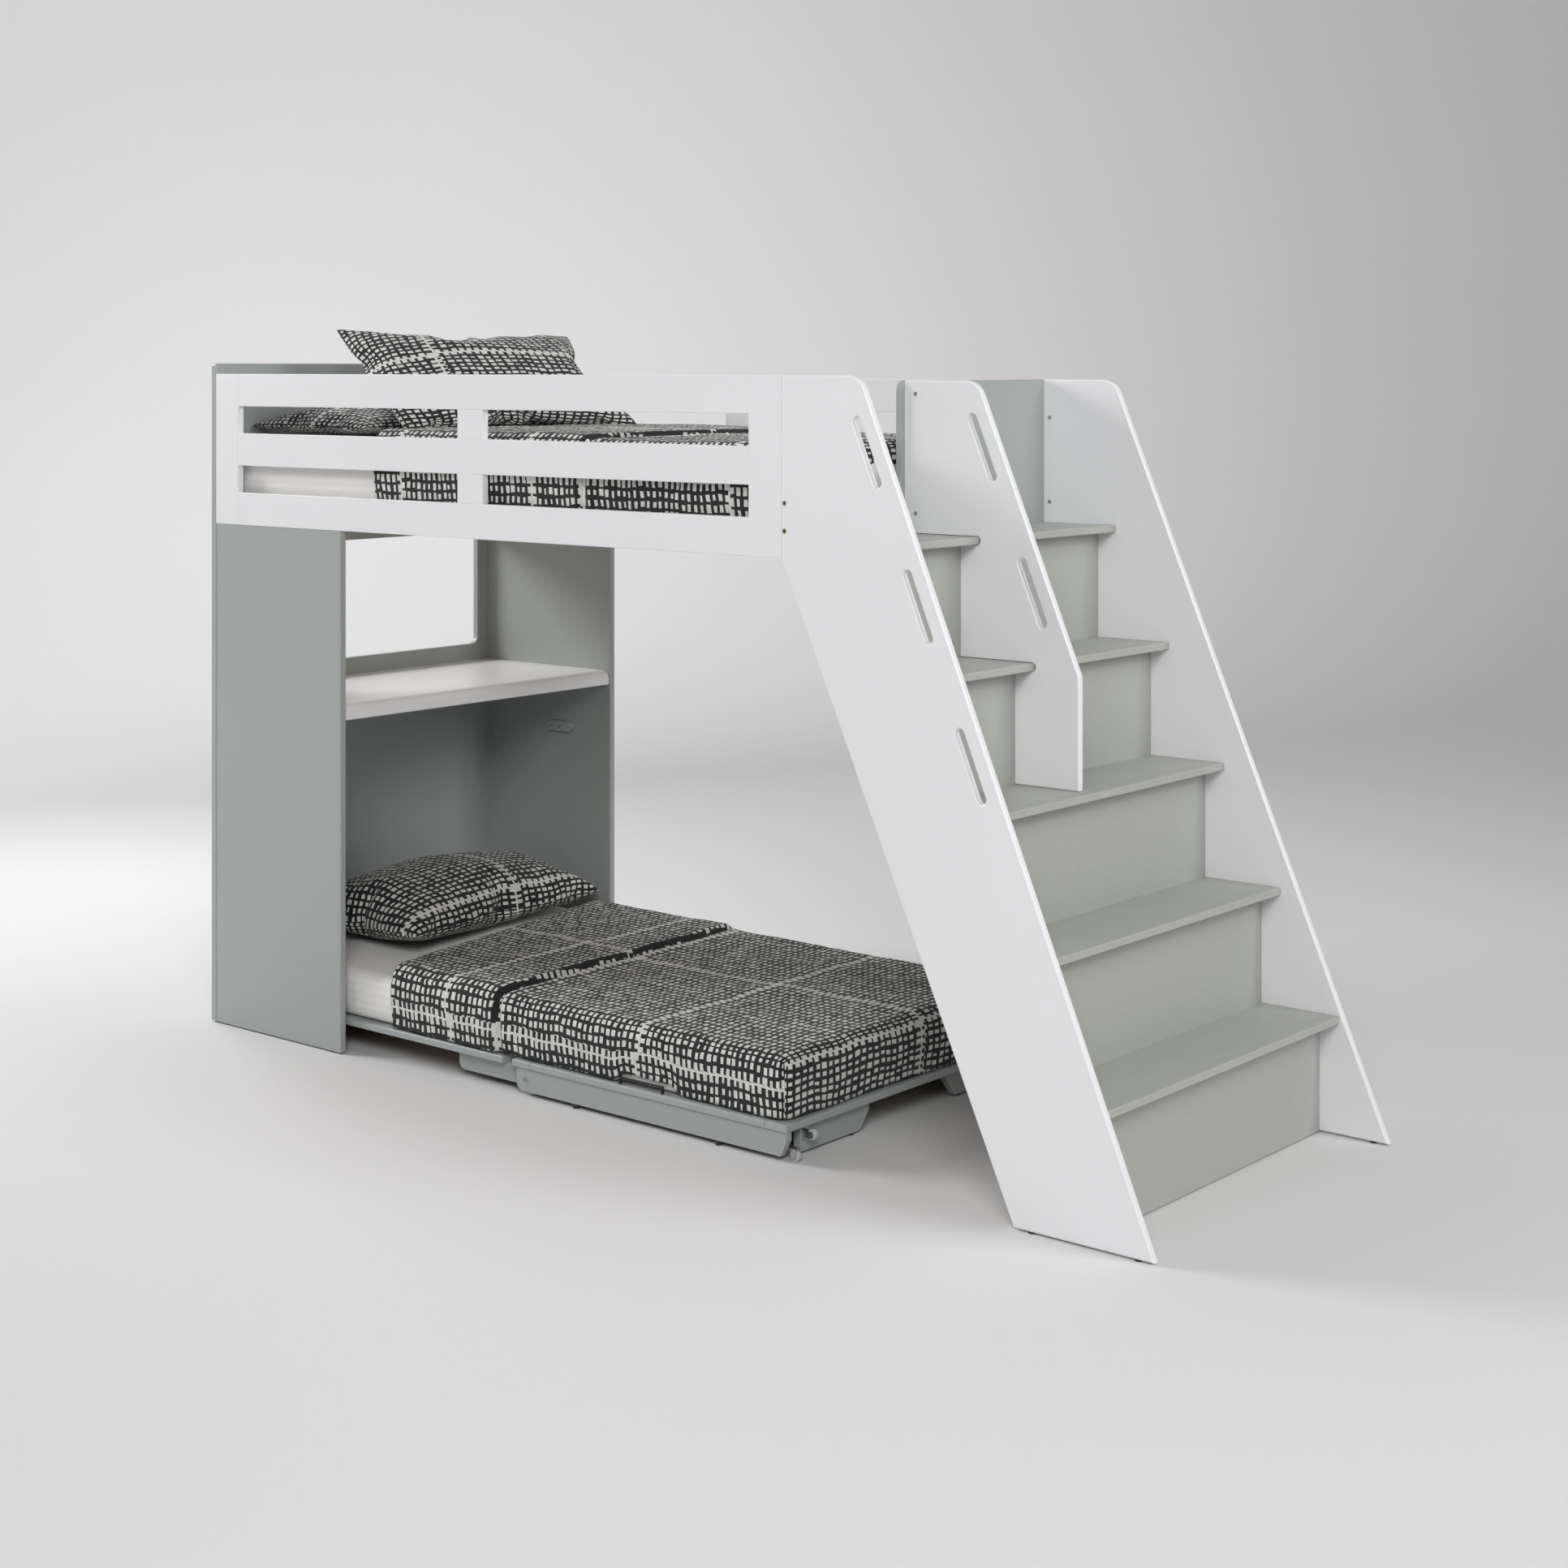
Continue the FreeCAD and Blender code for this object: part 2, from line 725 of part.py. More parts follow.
def make_foot_bracket():
    """Floor caster bracket: a plate on the apron's inner side with two hanging ears."""
    half = wheel_w / 2 + ear_gap + bracket_t
    plate_z = (2 * wheel_r + 2.5, 2 * wheel_r + 2.5 + bracket_t)
    plate = box((foot_axle_x - 38, foot_axle_x + 6), (floor_wheel_y - half, floor_wheel_y + half), plate_z)
    outline = rectangle((foot_axle_x - 7, foot_axle_x + 6), (wheel_r - 6, plate_z[0] + 0.5))
    ears = ear_pair(outline, [5.9, 5.9, 0, 0], floor_wheel_y, foot_axle_x, wheel_r, axle_r + running_gap)
    return plate.fuse(ears[0]).fuse(ears[1])


def make_end_bracket():
    """End caster bracket: a plate on the end leg's face with two ears that stand out."""
    half = wheel_w / 2 + ear_gap + bracket_t
    x = foot_axle_x + 2
    plate = box((foot_leg_face, foot_leg_face + bracket_t), (end_wheel_y - half, end_wheel_y + half),
                (end_wheel_z - 17, end_wheel_z + 17))
    outline = rectangle((foot_leg_face + bracket_t - 0.5, x + 6), (end_wheel_z - 7, end_wheel_z + 7))
    ears = ear_pair(outline, [0, 6.5, 6.5, 0], end_wheel_y, x, end_wheel_z, axle_r)
    pin = make_axle(x, end_wheel_y, end_wheel_z)
    return plate.fuse(ears[0]).fuse(ears[1]).fuse(pin)


def make_head_bracket():
    """Head caster bracket on the head leg's outer face, with its fixed axle."""
    half = wheel_w / 2 + ear_gap + bracket_t
    x = head_axle_x
    plate = box((head_leg_face - bracket_t, head_leg_face), (head_wheel_y - half, head_wheel_y + half),
                (leg_bottom + 2, leg_bottom + 44))
    outline = rectangle((x - 6, head_leg_face - bracket_t + 0.5), (wheel_r - 6, wheel_r + 8))
    ears = ear_pair(outline, [5.9, 0, 0, 5.9], head_wheel_y, x, wheel_r, axle_r)
    pin = make_axle(x, head_wheel_y, wheel_r)
    return plate.fuse(ears[0]).fuse(ears[1]).fuse(pin)


def make_retainer():
    """A bent steel strap that stands on the side rail and keeps the mattress in place."""
    x = (low_x2 + 352.0, low_x2 + 352.0 + 136.0)
    y = low_y0 + 6.0
    height = 17.0
    t = 3.0
    z = low_top
    bar = box((x[0], x[1]), (y, y + 9), (z + height - t, z + height))
    legs = [box((a, a + t), (y, y + 9), (z, z + height)) for a in (x[0], x[1] - t)]
    return bar.fuse(legs[0]).fuse(legs[1])


def make_low_glides():
    glides = []
    for x in (low_x2 + 205.0, low_x2 + 655.0):
        glides.append(rod((x, apron_y + apron_t / 2, 0), (0, 0, 1), glide_r - 2, apron_bottom))
    leg_x = foot_leg_face - apron_t / 2
    glides.append(rod((leg_x, low_y0 + leg_end - 60, 0), (0, 0, 1), glide_r - 2, leg_bottom))
    return join(glides + [mirrored(g) for g in glides])


# ---------------------------------------------------------------- mattresses, duvets and pillows

def soft_box(x, y, z, radius):
    solid = box(x, y, z)
    return solid.makeFillet(radius, solid.Edges)


def cover(x, y, z, inside_x, inside_y, inside_top):
    """A quilt over a mattress: an outer block less the mattress below it."""
    return box(x, y, z).cut(box(inside_x, inside_y, (z[0] - 1, inside_top)))


def make_upper_mattress():
    x = (mattress_end_gap, span - mattress_end_gap)
    y = (board + mattress_side_gap, rear_in - mattress_side_gap)
    base = slat_top + soft_gap
    return soft_box(x, y, (base, base + upper_mattress_t), 12.0)


def make_upper_duvet():
    side = mattress_side_gap - soft_gap
    top = slat_top + soft_gap + upper_mattress_t + soft_gap
    y = (board + side - duvet_side_t, rear_in - side + duvet_side_t)
    inside_y = (board + side, rear_in - side)
    x_end = span - mattress_end_gap
    return cover((duvet_start, x_end), y, (slat_top + 10, top + duvet_t),
                 (duvet_start - 1, x_end + 1), inside_y, top)


def make_low_mattress(x):
    y = (low_y0 + low_mattress_inset, low_y1 - low_mattress_inset)
    base = low_top + soft_gap
    solid = box(x, y, (base, base + low_mattress_t))
    return solid


def make_low_duvet(x, inside_x):
    side = low_mattress_inset - soft_gap
    top = low_mattress_top + soft_gap
    y = (low_y0 + side - duvet_side_t, low_y1 - side + duvet_side_t)
    inside_y = (low_y0 + side, low_y1 - side)
    return cover(x, y, (low_top + 22.0, top + duvet_t), inside_x, inside_y, top)


def make_skew_wedge():
    """What the slanting head edge takes off the low duvet."""
    front = low_y0 - 5
    back = low_y1 + 5
    corners = [Vec(low_duvet_start - 5, front, low_top), Vec(low_duvet_start + low_duvet_skew, front, low_top),
               Vec(low_duvet_start, back, low_top), Vec(low_duvet_start - 5, back, low_top)]
    return Part.Face(Part.makePolygon(corners + corners[:1])).extrude(Vec(0, 0, 3 * low_mattress_t))


def make_pillow(centre_at, turn, tilt, thickness):
    """A pillow as a plump block: long side along Y, then tilted about it and turned about Z."""
    solid = soft_box((-pillow_width / 2, pillow_width / 2), (-pillow_length / 2, pillow_length / 2),
                     (-thickness / 2, thickness / 2), thickness * pillow_round)
    solid.rotate(Vec(0, 0, 0), Vec(0, 1, 0), tilt)
    solid.rotate(Vec(0, 0, 0), Vec(0, 0, 1), turn)
    solid.translate(Vec(*centre_at))
    return solid


# ---------------------------------------------------------------- all pieces by name

def build_parts():
    parts = {}
    parts["end_panel"] = make_end_panel()
    parts["front_leg_panel"] = make_leg_panel(front_leg_setback, front_low)
    parts["rear_leg_panel"] = make_leg_panel(rear_in, rear_low)
    parts["desk_top"] = make_desk()
    parts["rest_blocks"] = make_rest_blocks()

    right_post = span - post_width
    names = ("bottom", "middle", "top")
    posts = []
    for side, y, low in (("front", 0.0, front_low), ("rear", rear_in, rear_low)):
        for x in (0.0, right_post):
            posts.append(drilled(make_guard_post(y, low, x), holes_for(["bolts"])))
        for level in range(3):
            parts[side + "_" + names[level] + "_rail"] = make_guard_rail(y, low, level)
    parts["guard_posts"] = join(posts)
    parts["guard_stiles"] = join(make_stiles(0.0, front_low) + make_stiles(rear_in, rear_low))
    parts["end_board"] = make_end_board()
    parts["slat_ledgers"] = make_ledgers()
    parts["upper_slats"] = make_slats()

    parts["front_stringer"] = make_outer_stringer(0.0, front_top, 3)
    parts["middle_stringer"] = make_middle_stringer()
    parts["rear_stringer"] = make_outer_stringer(rear_in, rear_top, 0)
    for step in range(1, step_count + 1):
        parts["tread_%d" % step] = make_tread(step)
        parts["riser_%d" % step] = make_riser(step)
    parts["tread_cleats"] = make_cleats()

    parts["connector_bolts"] = join(connector_bolts() + stringer_bolts())
    parts["barrel_nuts"] = join(barrel_nuts())
    parts["tread_screws"] = join(tread_screws())
    parts["floor_glides"] = make_floor_glides()

    parts["head_frame"] = make_head_frame()
    parts["head_slats"] = make_low_slats(low_x0 + low_cross_width, low_x1 - low_cross_width, 7)
    parts["head_arms"] = join(both_sides(make_head_arm()))
    parts["head_end_legs"] = join(both_sides(make_end_leg(head_leg_face)))
    parts["head_caster_brackets"] = join(both_sides(make_head_bracket()))
    parts["head_wheels"] = join(both_sides(make_wheel(head_axle_x, head_wheel_y, wheel_r)))

    parts["foot_frame"] = make_foot_frame()
    parts["foot_slats"] = make_low_slats(low_x2 + low_cross_width, low_x3 - low_cross_width, 6)
    parts["foot_aprons"] = join(both_sides(make_foot_apron()))
    parts["foot_end_legs"] = join(both_sides(make_end_leg(foot_leg_face - apron_t)))
    parts["foot_caster_brackets"] = join(both_sides(make_foot_bracket()) + both_sides(make_end_bracket()))
    parts["foot_axles"] = join(both_sides(make_axle(foot_axle_x, floor_wheel_y, wheel_r)))
    parts["foot_wheels"] = join(both_sides(make_wheel(foot_axle_x, floor_wheel_y, wheel_r)))
    parts["end_wheels"] = join(both_sides(make_wheel(foot_axle_x + 2, end_wheel_y, end_wheel_z)))
    parts["pivot_bolts"] = join(both_sides(make_pivot_bolt()) + both_sides(make_pivot_washer()))
    parts["mattress_retainers"] = join(both_sides(make_retainer()))
    parts["low_bed_glides"] = make_low_glides()

    parts["upper_mattress"] = make_upper_mattress()
    parts["upper_duvet"] = make_upper_duvet()
    upper_top = slat_top + soft_gap + upper_mattress_t
    flat_z = upper_top + soft_gap + flat_pillow_t / 2
    parts["upper_pillow_flat"] = make_pillow((flat_pillow_x, flat_pillow_y, flat_z), 0, 0, flat_pillow_t)
    lean_reach = (pillow_width / 2 - lean_pillow_t * pillow_round) * math.sin(math.radians(lean_tilt))
    lean_slab = (0.5 - pillow_round) * lean_pillow_t * math.cos(math.radians(lean_tilt))
    lean_z = upper_top + 2 * soft_gap + duvet_t + 0.5 + lean_reach + lean_slab + lean_pillow_t * pillow_round
    parts["upper_pillow_leaning"] = make_pillow((lean_pillow_x, rear_in - lean_pillow_back, lean_z),
                                                lean_turn, lean_tilt, lean_pillow_t)

    foot_x = low_x3 - low_mattress_inset
    parts["low_mattress_head"] = make_low_mattress((low_x0 + 10, fold_line - 0.5))
    parts["low_mattress_foot"] = make_low_mattress((fold_line + 0.5, foot_x))
    head_cover = make_low_duvet((low_duvet_start, fold_line - 0.5), (low_duvet_start - 1, fold_line))
    parts["low_duvet_head"] = head_cover.cut(make_skew_wedge())
    parts["low_duvet_foot"] = make_low_duvet((fold_line + 0.5, foot_x + soft_gap + duvet_side_t),
                                             (fold_line, foot_x + soft_gap))
    low_z = low_mattress_top + soft_gap + low_pillow_t / 2
    parts["low_pillow"] = make_pillow((low_pillow_x, rear_in - low_pillow_back, low_z),
                                      low_pillow_turn, 0, low_pillow_t)
    return parts


def write_parts():
    os.makedirs("parts", exist_ok=True)
    for name, shape in build_parts().items():
        shape.translate(centre * -1)
        shape.exportStep("parts/%s.step" % name)


write_parts()
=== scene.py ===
import math

import bmesh
import bpy
from bpy.props import FloatProperty, FloatVectorProperty, IntProperty, PointerProperty
from mathutils import Matrix, Vector, noise


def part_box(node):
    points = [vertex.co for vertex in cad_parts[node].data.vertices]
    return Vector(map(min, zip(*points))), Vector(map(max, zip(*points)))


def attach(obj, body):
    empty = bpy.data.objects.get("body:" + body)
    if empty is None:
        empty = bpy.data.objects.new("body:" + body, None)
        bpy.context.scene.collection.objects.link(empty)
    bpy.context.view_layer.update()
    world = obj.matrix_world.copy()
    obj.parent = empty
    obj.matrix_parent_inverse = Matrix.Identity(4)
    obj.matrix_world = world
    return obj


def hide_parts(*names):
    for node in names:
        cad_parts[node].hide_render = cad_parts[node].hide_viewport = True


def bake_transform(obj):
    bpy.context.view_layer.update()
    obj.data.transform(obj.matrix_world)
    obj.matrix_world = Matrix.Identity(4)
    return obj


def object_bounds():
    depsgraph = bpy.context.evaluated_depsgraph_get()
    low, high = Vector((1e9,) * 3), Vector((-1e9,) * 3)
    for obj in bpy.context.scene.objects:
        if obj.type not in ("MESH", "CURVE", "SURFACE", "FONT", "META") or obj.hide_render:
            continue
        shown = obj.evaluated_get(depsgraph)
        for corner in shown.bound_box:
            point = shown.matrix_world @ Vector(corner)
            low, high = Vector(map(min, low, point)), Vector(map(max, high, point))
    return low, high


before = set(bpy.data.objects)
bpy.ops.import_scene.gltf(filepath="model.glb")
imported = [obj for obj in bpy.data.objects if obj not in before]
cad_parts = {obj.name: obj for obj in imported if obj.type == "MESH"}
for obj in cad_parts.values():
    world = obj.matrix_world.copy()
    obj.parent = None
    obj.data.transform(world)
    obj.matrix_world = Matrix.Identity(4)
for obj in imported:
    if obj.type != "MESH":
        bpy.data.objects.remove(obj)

bl_info = {
    "name": "Loft bed with desk",
    "version": (1, 0, 0),
    "blender": (4, 5, 0),
    "location": "View3D > Sidebar > Loft bed",
    "description": "Finishes, bedding and studio for a loft bed with a desk, stairs and a folding low bed",
    "category": "Object",
}

CAD_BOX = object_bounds()
MM = 0.001
LOFT, HEAD, FOOT = "loft", "head_section", "foot_section"
# cotton threads are 0.2 mm apart; they are drawn further apart so that they show close up
THREAD, THREAD_HEIGHT = 1.2 * MM, 0.08 * MM


# ------------------------------------------------------------------ colours and nodes

def from_hex(code):
    """An sRGB hex colour as linear RGB."""
    channels = [int(code[i:i + 2], 16) / 255 for i in (1, 3, 5)]
    return [c / 12.92 if c <= 0.04045 else ((c + 0.055) / 1.055) ** 2.4 for c in channels]


def add(tree, kind, links=None, **settings):
    """Add a node; links feeds its inputs, by name or number, from sockets or plain values."""
    node = tree.nodes.new(kind)
    for key, value in settings.items():
        setattr(node, key, value)
    for key, value in (links or {}).items():
        if isinstance(value, bpy.types.NodeSocket):
            tree.links.new(value, node.inputs[key])
        else:
            node.inputs[key].default_value = value
    return node


def new_material(name, roughness, **sockets):
    """A material with one principled shader, whose even values are set on its own sockets."""
    material = bpy.data.materials.new(name)
    material.use_nodes = True
    tree = material.node_tree
    tree.nodes.clear()
    shader = add(tree, "ShaderNodeBsdfPrincipled", {"Roughness": roughness})
    for key, value in sockets.items():
        shader.inputs[key.replace("_", " ")].default_value = value
    add(tree, "ShaderNodeOutputMaterial", {"Surface": shader.outputs[0]})
    return material, tree, shader


def calc(tree, operation, a, b=0.0, c=0.0):
    return add(tree, "ShaderNodeMath", {0: a, 1: b, 2: c}, operation=operation).outputs[0]


def mixed(tree, share, a, b):
    """A colour between a and b."""
    node = add(tree, "ShaderNodeMix", {0: share}, data_type="RGBA")
    for number, value in ((6, a), (7, b)):
        if isinstance(value, bpy.types.NodeSocket):
            tree.links.new(value, node.inputs[number])
        else:
            node.inputs[number].default_value = (*value[:3], 1)
    return node.outputs[2]


def shade(colour, factor):
    return [min(1, c * factor) for c in colour[:3]]


def grain(tree, size, vector=None, detail=2.0, stretch=(1, 1, 1)):
    """Soft noise from 0 to 1 whose lumps are about size metres across."""
    if vector is None:
        vector = add(tree, "ShaderNodeTexCoord").outputs["Object"]
    if stretch != (1, 1, 1):
        vector = add(tree, "ShaderNodeVectorMath", {0: vector, 1: stretch}, operation="MULTIPLY").outputs[0]
    links = {"Vector": vector, "Scale": 0.5 / size, "Detail": detail}
    return add(tree, "ShaderNodeTexNoise", links).outputs[0]


def spread(tree, value, low, high):
    """A noise value stretched to run from low to high."""
    return add(tree, "ShaderNodeMapRange", {0: value, 1: 0.3, 2: 0.7, 3: low, 4: high}).outputs[0]


def bump(tree, shader, height, distance, strength=1.0, below=None):
    links = {"Height": height, "Distance": distance, "Strength": strength}
    if below is not None:
        links["Normal"] = below
    node = add(tree, "ShaderNodeBump", links)
    tree.links.new(node.outputs[0], shader.inputs["Normal"])
    return node.outputs[0]


# ------------------------------------------------------------------ finishes

def sprayed_lacquer(name, colour, roughness, peel):
    """Board sprayed with satin lacquer: even colour, soft gloss, and the faint orange peel of the spray."""
    material, tree, shader = new_material(name, roughness, Coat_Weight=0.15, Coat_Roughness=0.25)
    cloud = grain(tree, 0.35)
    colour_out = mixed(tree, spread(tree, cloud, 0, 1), shade(colour, 0.975), shade(colour, 1.015))
    tree.links.new(colour_out, shader.inputs["Base Color"])
    gloss = grain(tree, 0.05)
    tree.links.new(spread(tree, gloss, roughness - 0.03, roughness + 0.04), shader.inputs["Roughness"])
    # real orange peel is 1 to 2 mm across; it is drawn at 4 mm so that it shows
    bump(tree, shader, grain(tree, 4 * MM, detail=3.0), peel)
    return material


def step_melamine(colour):
    """Pressed melamine: a matte skin with a fine grit, slightly scuffed where feet land."""
    material, tree, shader = new_material("pressed_melamine", 0.5)
    place = add(tree, "ShaderNodeTexCoord").outputs["Object"]
    fleck = grain(tree, 3 * MM, place, 3.0)
    base = mixed(tree, spread(tree, fleck, 0, 1), shade(colour, 0.96), shade(colour, 1.03))
    scuff = grain(tree, 60 * MM, place, 4.0, (1, 0.4, 1))
    outward = add(tree, "ShaderNodeNewGeometry").outputs["Normal"]
    up = add(tree, "ShaderNodeSeparateXYZ", {0: outward}).outputs[2]
    flat = calc(tree, "GREATER_THAN", up, 0.9)
    worn = calc(tree, "MULTIPLY", flat, spread(tree, scuff, 0, 0.35))
    tree.links.new(mixed(tree, worn, base, shade(colour, 0.93)), shader.inputs["Base Color"])
    tree.links.new(spread(tree, scuff, 0.42, 0.58), shader.inputs["Roughness"])
    bump(tree, shader, fleck, 0.05 * MM)
    return material


def planed_pine():
    """Planed pine slat: pale straw wood with darker late-wood lines along its length and a few knots."""
    material, tree, shader = new_material("planed_pine", 0.6)
    place = add(tree, "ShaderNodeTexCoord").outputs["Object"]
    bent = grain(tree, 60 * MM, place, 2.0, (1, 0.15, 1))
    along = add(tree, "ShaderNodeSeparateXYZ", {0: place})
    across = calc(tree, "MULTIPLY_ADD", bent, 0.05, along.outputs[0])
    rings = calc(tree, "FRACT", calc(tree, "DIVIDE", across, 7 * MM))
    line = calc(tree, "POWER", rings, 3.0)
    fibre = grain(tree, 1.5 * MM, place, 3.0, (1, 0.03, 1))
    wood = mixed(tree, line, from_hex("#D9B98A"), from_hex("#B98E58"))
    wood = mixed(tree, spread(tree, fibre, 0, 0.3), wood, from_hex("#C9A36D"))
    tree.links.new(wood, shader.inputs["Base Color"])
    bump(tree, shader, fibre, 0.1 * MM)
    return material


def plated_steel(name, colour, roughness):
    """Turned steel with a thin zinc plate: metal with fine turning marks and a slightly cloudy passivate."""
    material, tree, shader = new_material(name, roughness, Metallic=1.0)
    cloud = grain(tree, 6 * MM)
    plate = mixed(tree, spread(tree, cloud, 0, 1), shade(colour, 0.85), colour)
    tree.links.new(plate, shader.inputs["Base Color"])
    tree.links.new(spread(tree, cloud, roughness - 0.06, roughness + 0.08), shader.inputs["Roughness"])
    bump(tree, shader, grain(tree, 1.0 * MM, stretch=(1, 6, 1)), 0.02 * MM)
    return material


def powder_coat():
    """Black powder coat baked on bent steel: a fine even pebble."""
    material, tree, shader = new_material("black_powder_coat", 0.45)
    pebble = grain(tree, 1.5 * MM, detail=3.0)
    dark = from_hex("#2A2826")
    tree.links.new(mixed(tree, pebble, dark, shade(dark, 1.5)), shader.inputs["Base Color"])
    bump(tree, shader, pebble, 0.08 * MM)
    return material


def moulded(name, colour, roughness):
    """Moulded nylon or polythene, and the painted shade in the bolts' key sockets: a slight waxy gloss with a
    fine texture.
    """
    material, tree, shader = new_material(name, roughness)
    speck = grain(tree, 2 * MM, detail=3.0)
    tree.links.new(mixed(tree, speck, shade(colour, 0.9), shade(colour, 1.08)), shader.inputs["Base Color"])
    bump(tree, shader, speck, 0.05 * MM)
    return material


def cloth_place(tree):
    """The cloth's own flat coordinates, in metres."""
    return add(tree, "ShaderNodeUVMap", uv_map="cloth").outputs[0]


def weave_height(tree, place):
    """A plain weave: warp and weft ribs crossing."""
    split = add(tree, "ShaderNodeSeparateXYZ", {0: place})
    turn = 2 * math.pi / THREAD
    warp = calc(tree, "SINE", calc(tree, "MULTIPLY", split.outputs[0], turn))
    weft = calc(tree, "SINE", calc(tree, "MULTIPLY", split.outputs[1], turn))
    return calc(tree, "MULTIPLY", warp, weft)


def striped_sateen(colour, stripe):
    """White cotton with woven sateen stripes: every other stripe floats its threads and takes more shine."""
    material, tree, shader = new_material("striped_cotton_sateen", 0.75, Sheen_Weight=0.2,
                                          Sheen_Roughness=0.4)
    place = cloth_place(tree)
    split = add(tree, "ShaderNodeSeparateXYZ", {0: place})
    wave = calc(tree, "SINE", calc(tree, "MULTIPLY", split.outputs[1], math.pi / stripe))
    band = add(tree, "ShaderNodeMapRange", {0: wave, 1: -0.15, 2: 0.15, 3: 0, 4: 1}).outputs[0]
    tree.links.new(mixed(tree, band, shade(colour, 0.95), colour), shader.inputs["Base Color"])
    tree.links.new(add(tree, "ShaderNodeMapRange", {0: band, 3: 0.85, 4: 0.5}).outputs[0],
                   shader.inputs["Roughness"])
    soft = bump(tree, shader, grain(tree, 30 * MM, place), 1.2 * MM)
    bump(tree, shader, weave_height(tree, place), THREAD_HEIGHT, below=soft)
    return material


def printed_percale(ground, figure, pitch, stretch, gap, block):
    """Dark percale printed with a hand-drawn grid of pale blocks, crossed by pale toothed lines."""
    material, tree, shader = new_material("printed_cotton_percale", 0.88, Sheen_Weight=0.12,
                                          Sheen_Roughness=0.5)
    place = cloth_place(tree)
    # the hand's slow drift, a few millimetres over a hand's width, and the brush's short wobble
    drift = add(tree, "ShaderNodeTexNoise", {"Vector": place, "Scale": 9.0, "Detail": 1.0}).outputs[1]
    wobble = add(tree, "ShaderNodeTexNoise", {"Vector": place, "Scale": 55.0, "Detail": 1.0}).outputs[1]
    moved = place
    for source, reach in ((drift, 18 * MM), (wobble, 3.5 * MM)):
        centred = add(tree, "ShaderNodeVectorMath", {0: source, 1: (0.5, 0.5, 0.5)}, operation="SUBTRACT")
        scaled = add(tree, "ShaderNodeVectorMath", {0: centred.outputs[0], "Scale": reach}, operation="SCALE")
        links = {0: moved, 1: scaled.outputs[0]}
        moved = add(tree, "ShaderNodeVectorMath", links, operation="ADD").outputs[0]
    split = add(tree, "ShaderNodeSeparateXYZ", {0: moved})
    column = calc(tree, "DIVIDE", split.outputs[0], pitch)
    row = calc(tree, "DIVIDE", split.outputs[1], pitch * stretch)

    def chance(value, seed):
        return add(tree, "ShaderNodeTexWhiteNoise", {"W": calc(tree, "ADD", value, seed)},
                   noise_dimensions="1D").outputs[0]

    # blocks of the print slip past each other by part of a cell where a toothed line runs
    block_row = calc(tree, "FLOOR", calc(tree, "DIVIDE", row, block))
    column = calc(tree, "ADD", column, chance(block_row, 3.5))
    block_column = calc(tree, "FLOOR", calc(tree, "DIVIDE", column, block))
    row = calc(tree, "ADD", row, chance(block_column, 7.5))
    cell = add(tree, "ShaderNodeCombineXYZ", {0: calc(tree, "FLOOR", column), 1: calc(tree, "FLOOR", row)})
    dice = add(tree, "ShaderNodeTexWhiteNoise", {"Vector": cell.outputs[0]}, noise_dimensions="3D")
    dice_x, dice_y, dice_z = add(tree, "ShaderNodeSeparateColor", {0: dice.outputs[1]}).outputs[:3]

    def inside(value, stroke, low_dice, high_dice, near_line):
        """1 between the dark strokes on each side of a cell; a toothed line takes its stroke away."""
        part = calc(tree, "FRACT", value)
        low = calc(tree, "MULTIPLY_ADD", low_dice, stroke * 0.5, stroke * 0.25)
        high = calc(tree, "SUBTRACT", 1.0, calc(tree, "MULTIPLY_ADD", high_dice, stroke * 0.5, stroke * 0.25))
        past_low, below_high = calc(tree, "GREATER_THAN", part, low), calc(tree, "LESS_THAN", part, high)
        return calc(tree, "MAXIMUM", calc(tree, "MULTIPLY", past_low, below_high), near_line)

    def from_line(value):
        """Distance to the nearest toothed line, in cells."""
        share = calc(tree, "FRACT", calc(tree, "DIVIDE", value, block))
        far = calc(tree, "SUBTRACT", 0.5, calc(tree, "ABSOLUTE", calc(tree, "SUBTRACT", share, 0.5)))
        return calc(tree, "MULTIPLY", far, block)

    line_x, line_y = from_line(column), from_line(row)
    in_x = inside(column, gap, dice_x, dice_y, calc(tree, "LESS_THAN", line_x, 0.5))
    in_y = inside(row, gap / stretch, dice_z, dice_x, calc(tree, "LESS_THAN", line_y, 0.5))
    pale = calc(tree, "MULTIPLY", in_x, in_y)
    for line, half in ((line_x, 0.16), (line_y, 0.16 / stretch)):
        pale = calc(tree, "MAXIMUM", pale, calc(tree, "LESS_THAN", line, half))
    ink = grain(tree, 5 * MM, place, 3.0, (1, 0.3, 1))
    figure_out = mixed(tree, spread(tree, ink, 0, 1), shade(figure, 0.82), figure)
    colour = mixed(tree, pale, ground, figure_out)
    tree.links.new(colour, shader.inputs["Base Color"])
    soft = bump(tree, shader, grain(tree, 25 * MM, place), 1.5 * MM)
    bump(tree, shader, weave_height(tree, place), THREAD_HEIGHT, below=soft)
    return material


def studio_paper(name, colour):
    """Seamless painted studio cove: dead matte."""
    material, tree, shader = new_material(name, 0.9)
    shader.inputs["Specular IOR Level"].default_value = 0.15
    cloud = grain(tree, 1.5)
    paint_out = mixed(tree, spread(tree, cloud, 0, 1), shade(colour, 0.985), colour)
    tree.links.new(paint_out, shader.inputs["Base Color"])
    return material


# ------------------------------------------------------------------ mesh helpers

def made(name, vertices, faces, coordinates=None, smooth=True):
    """A mesh object; coordinates holds the cloth's flat place for every corner of every face."""
    mesh = bpy.data.meshes.new(name)
    mesh.from_pydata(vertices, [], faces)
    if coordinates is not None:
        layer = mesh.uv_layers.new(name="cloth")
        layer.data.foreach_set("uv", [value for pair in coordinates for value in pair])
    for polygon in mesh.polygons:
        polygon.use_smooth = smooth
    piece = bpy.data.objects.new(name, mesh)
    bpy.context.scene.collection.objects.link(piece)
    return piece


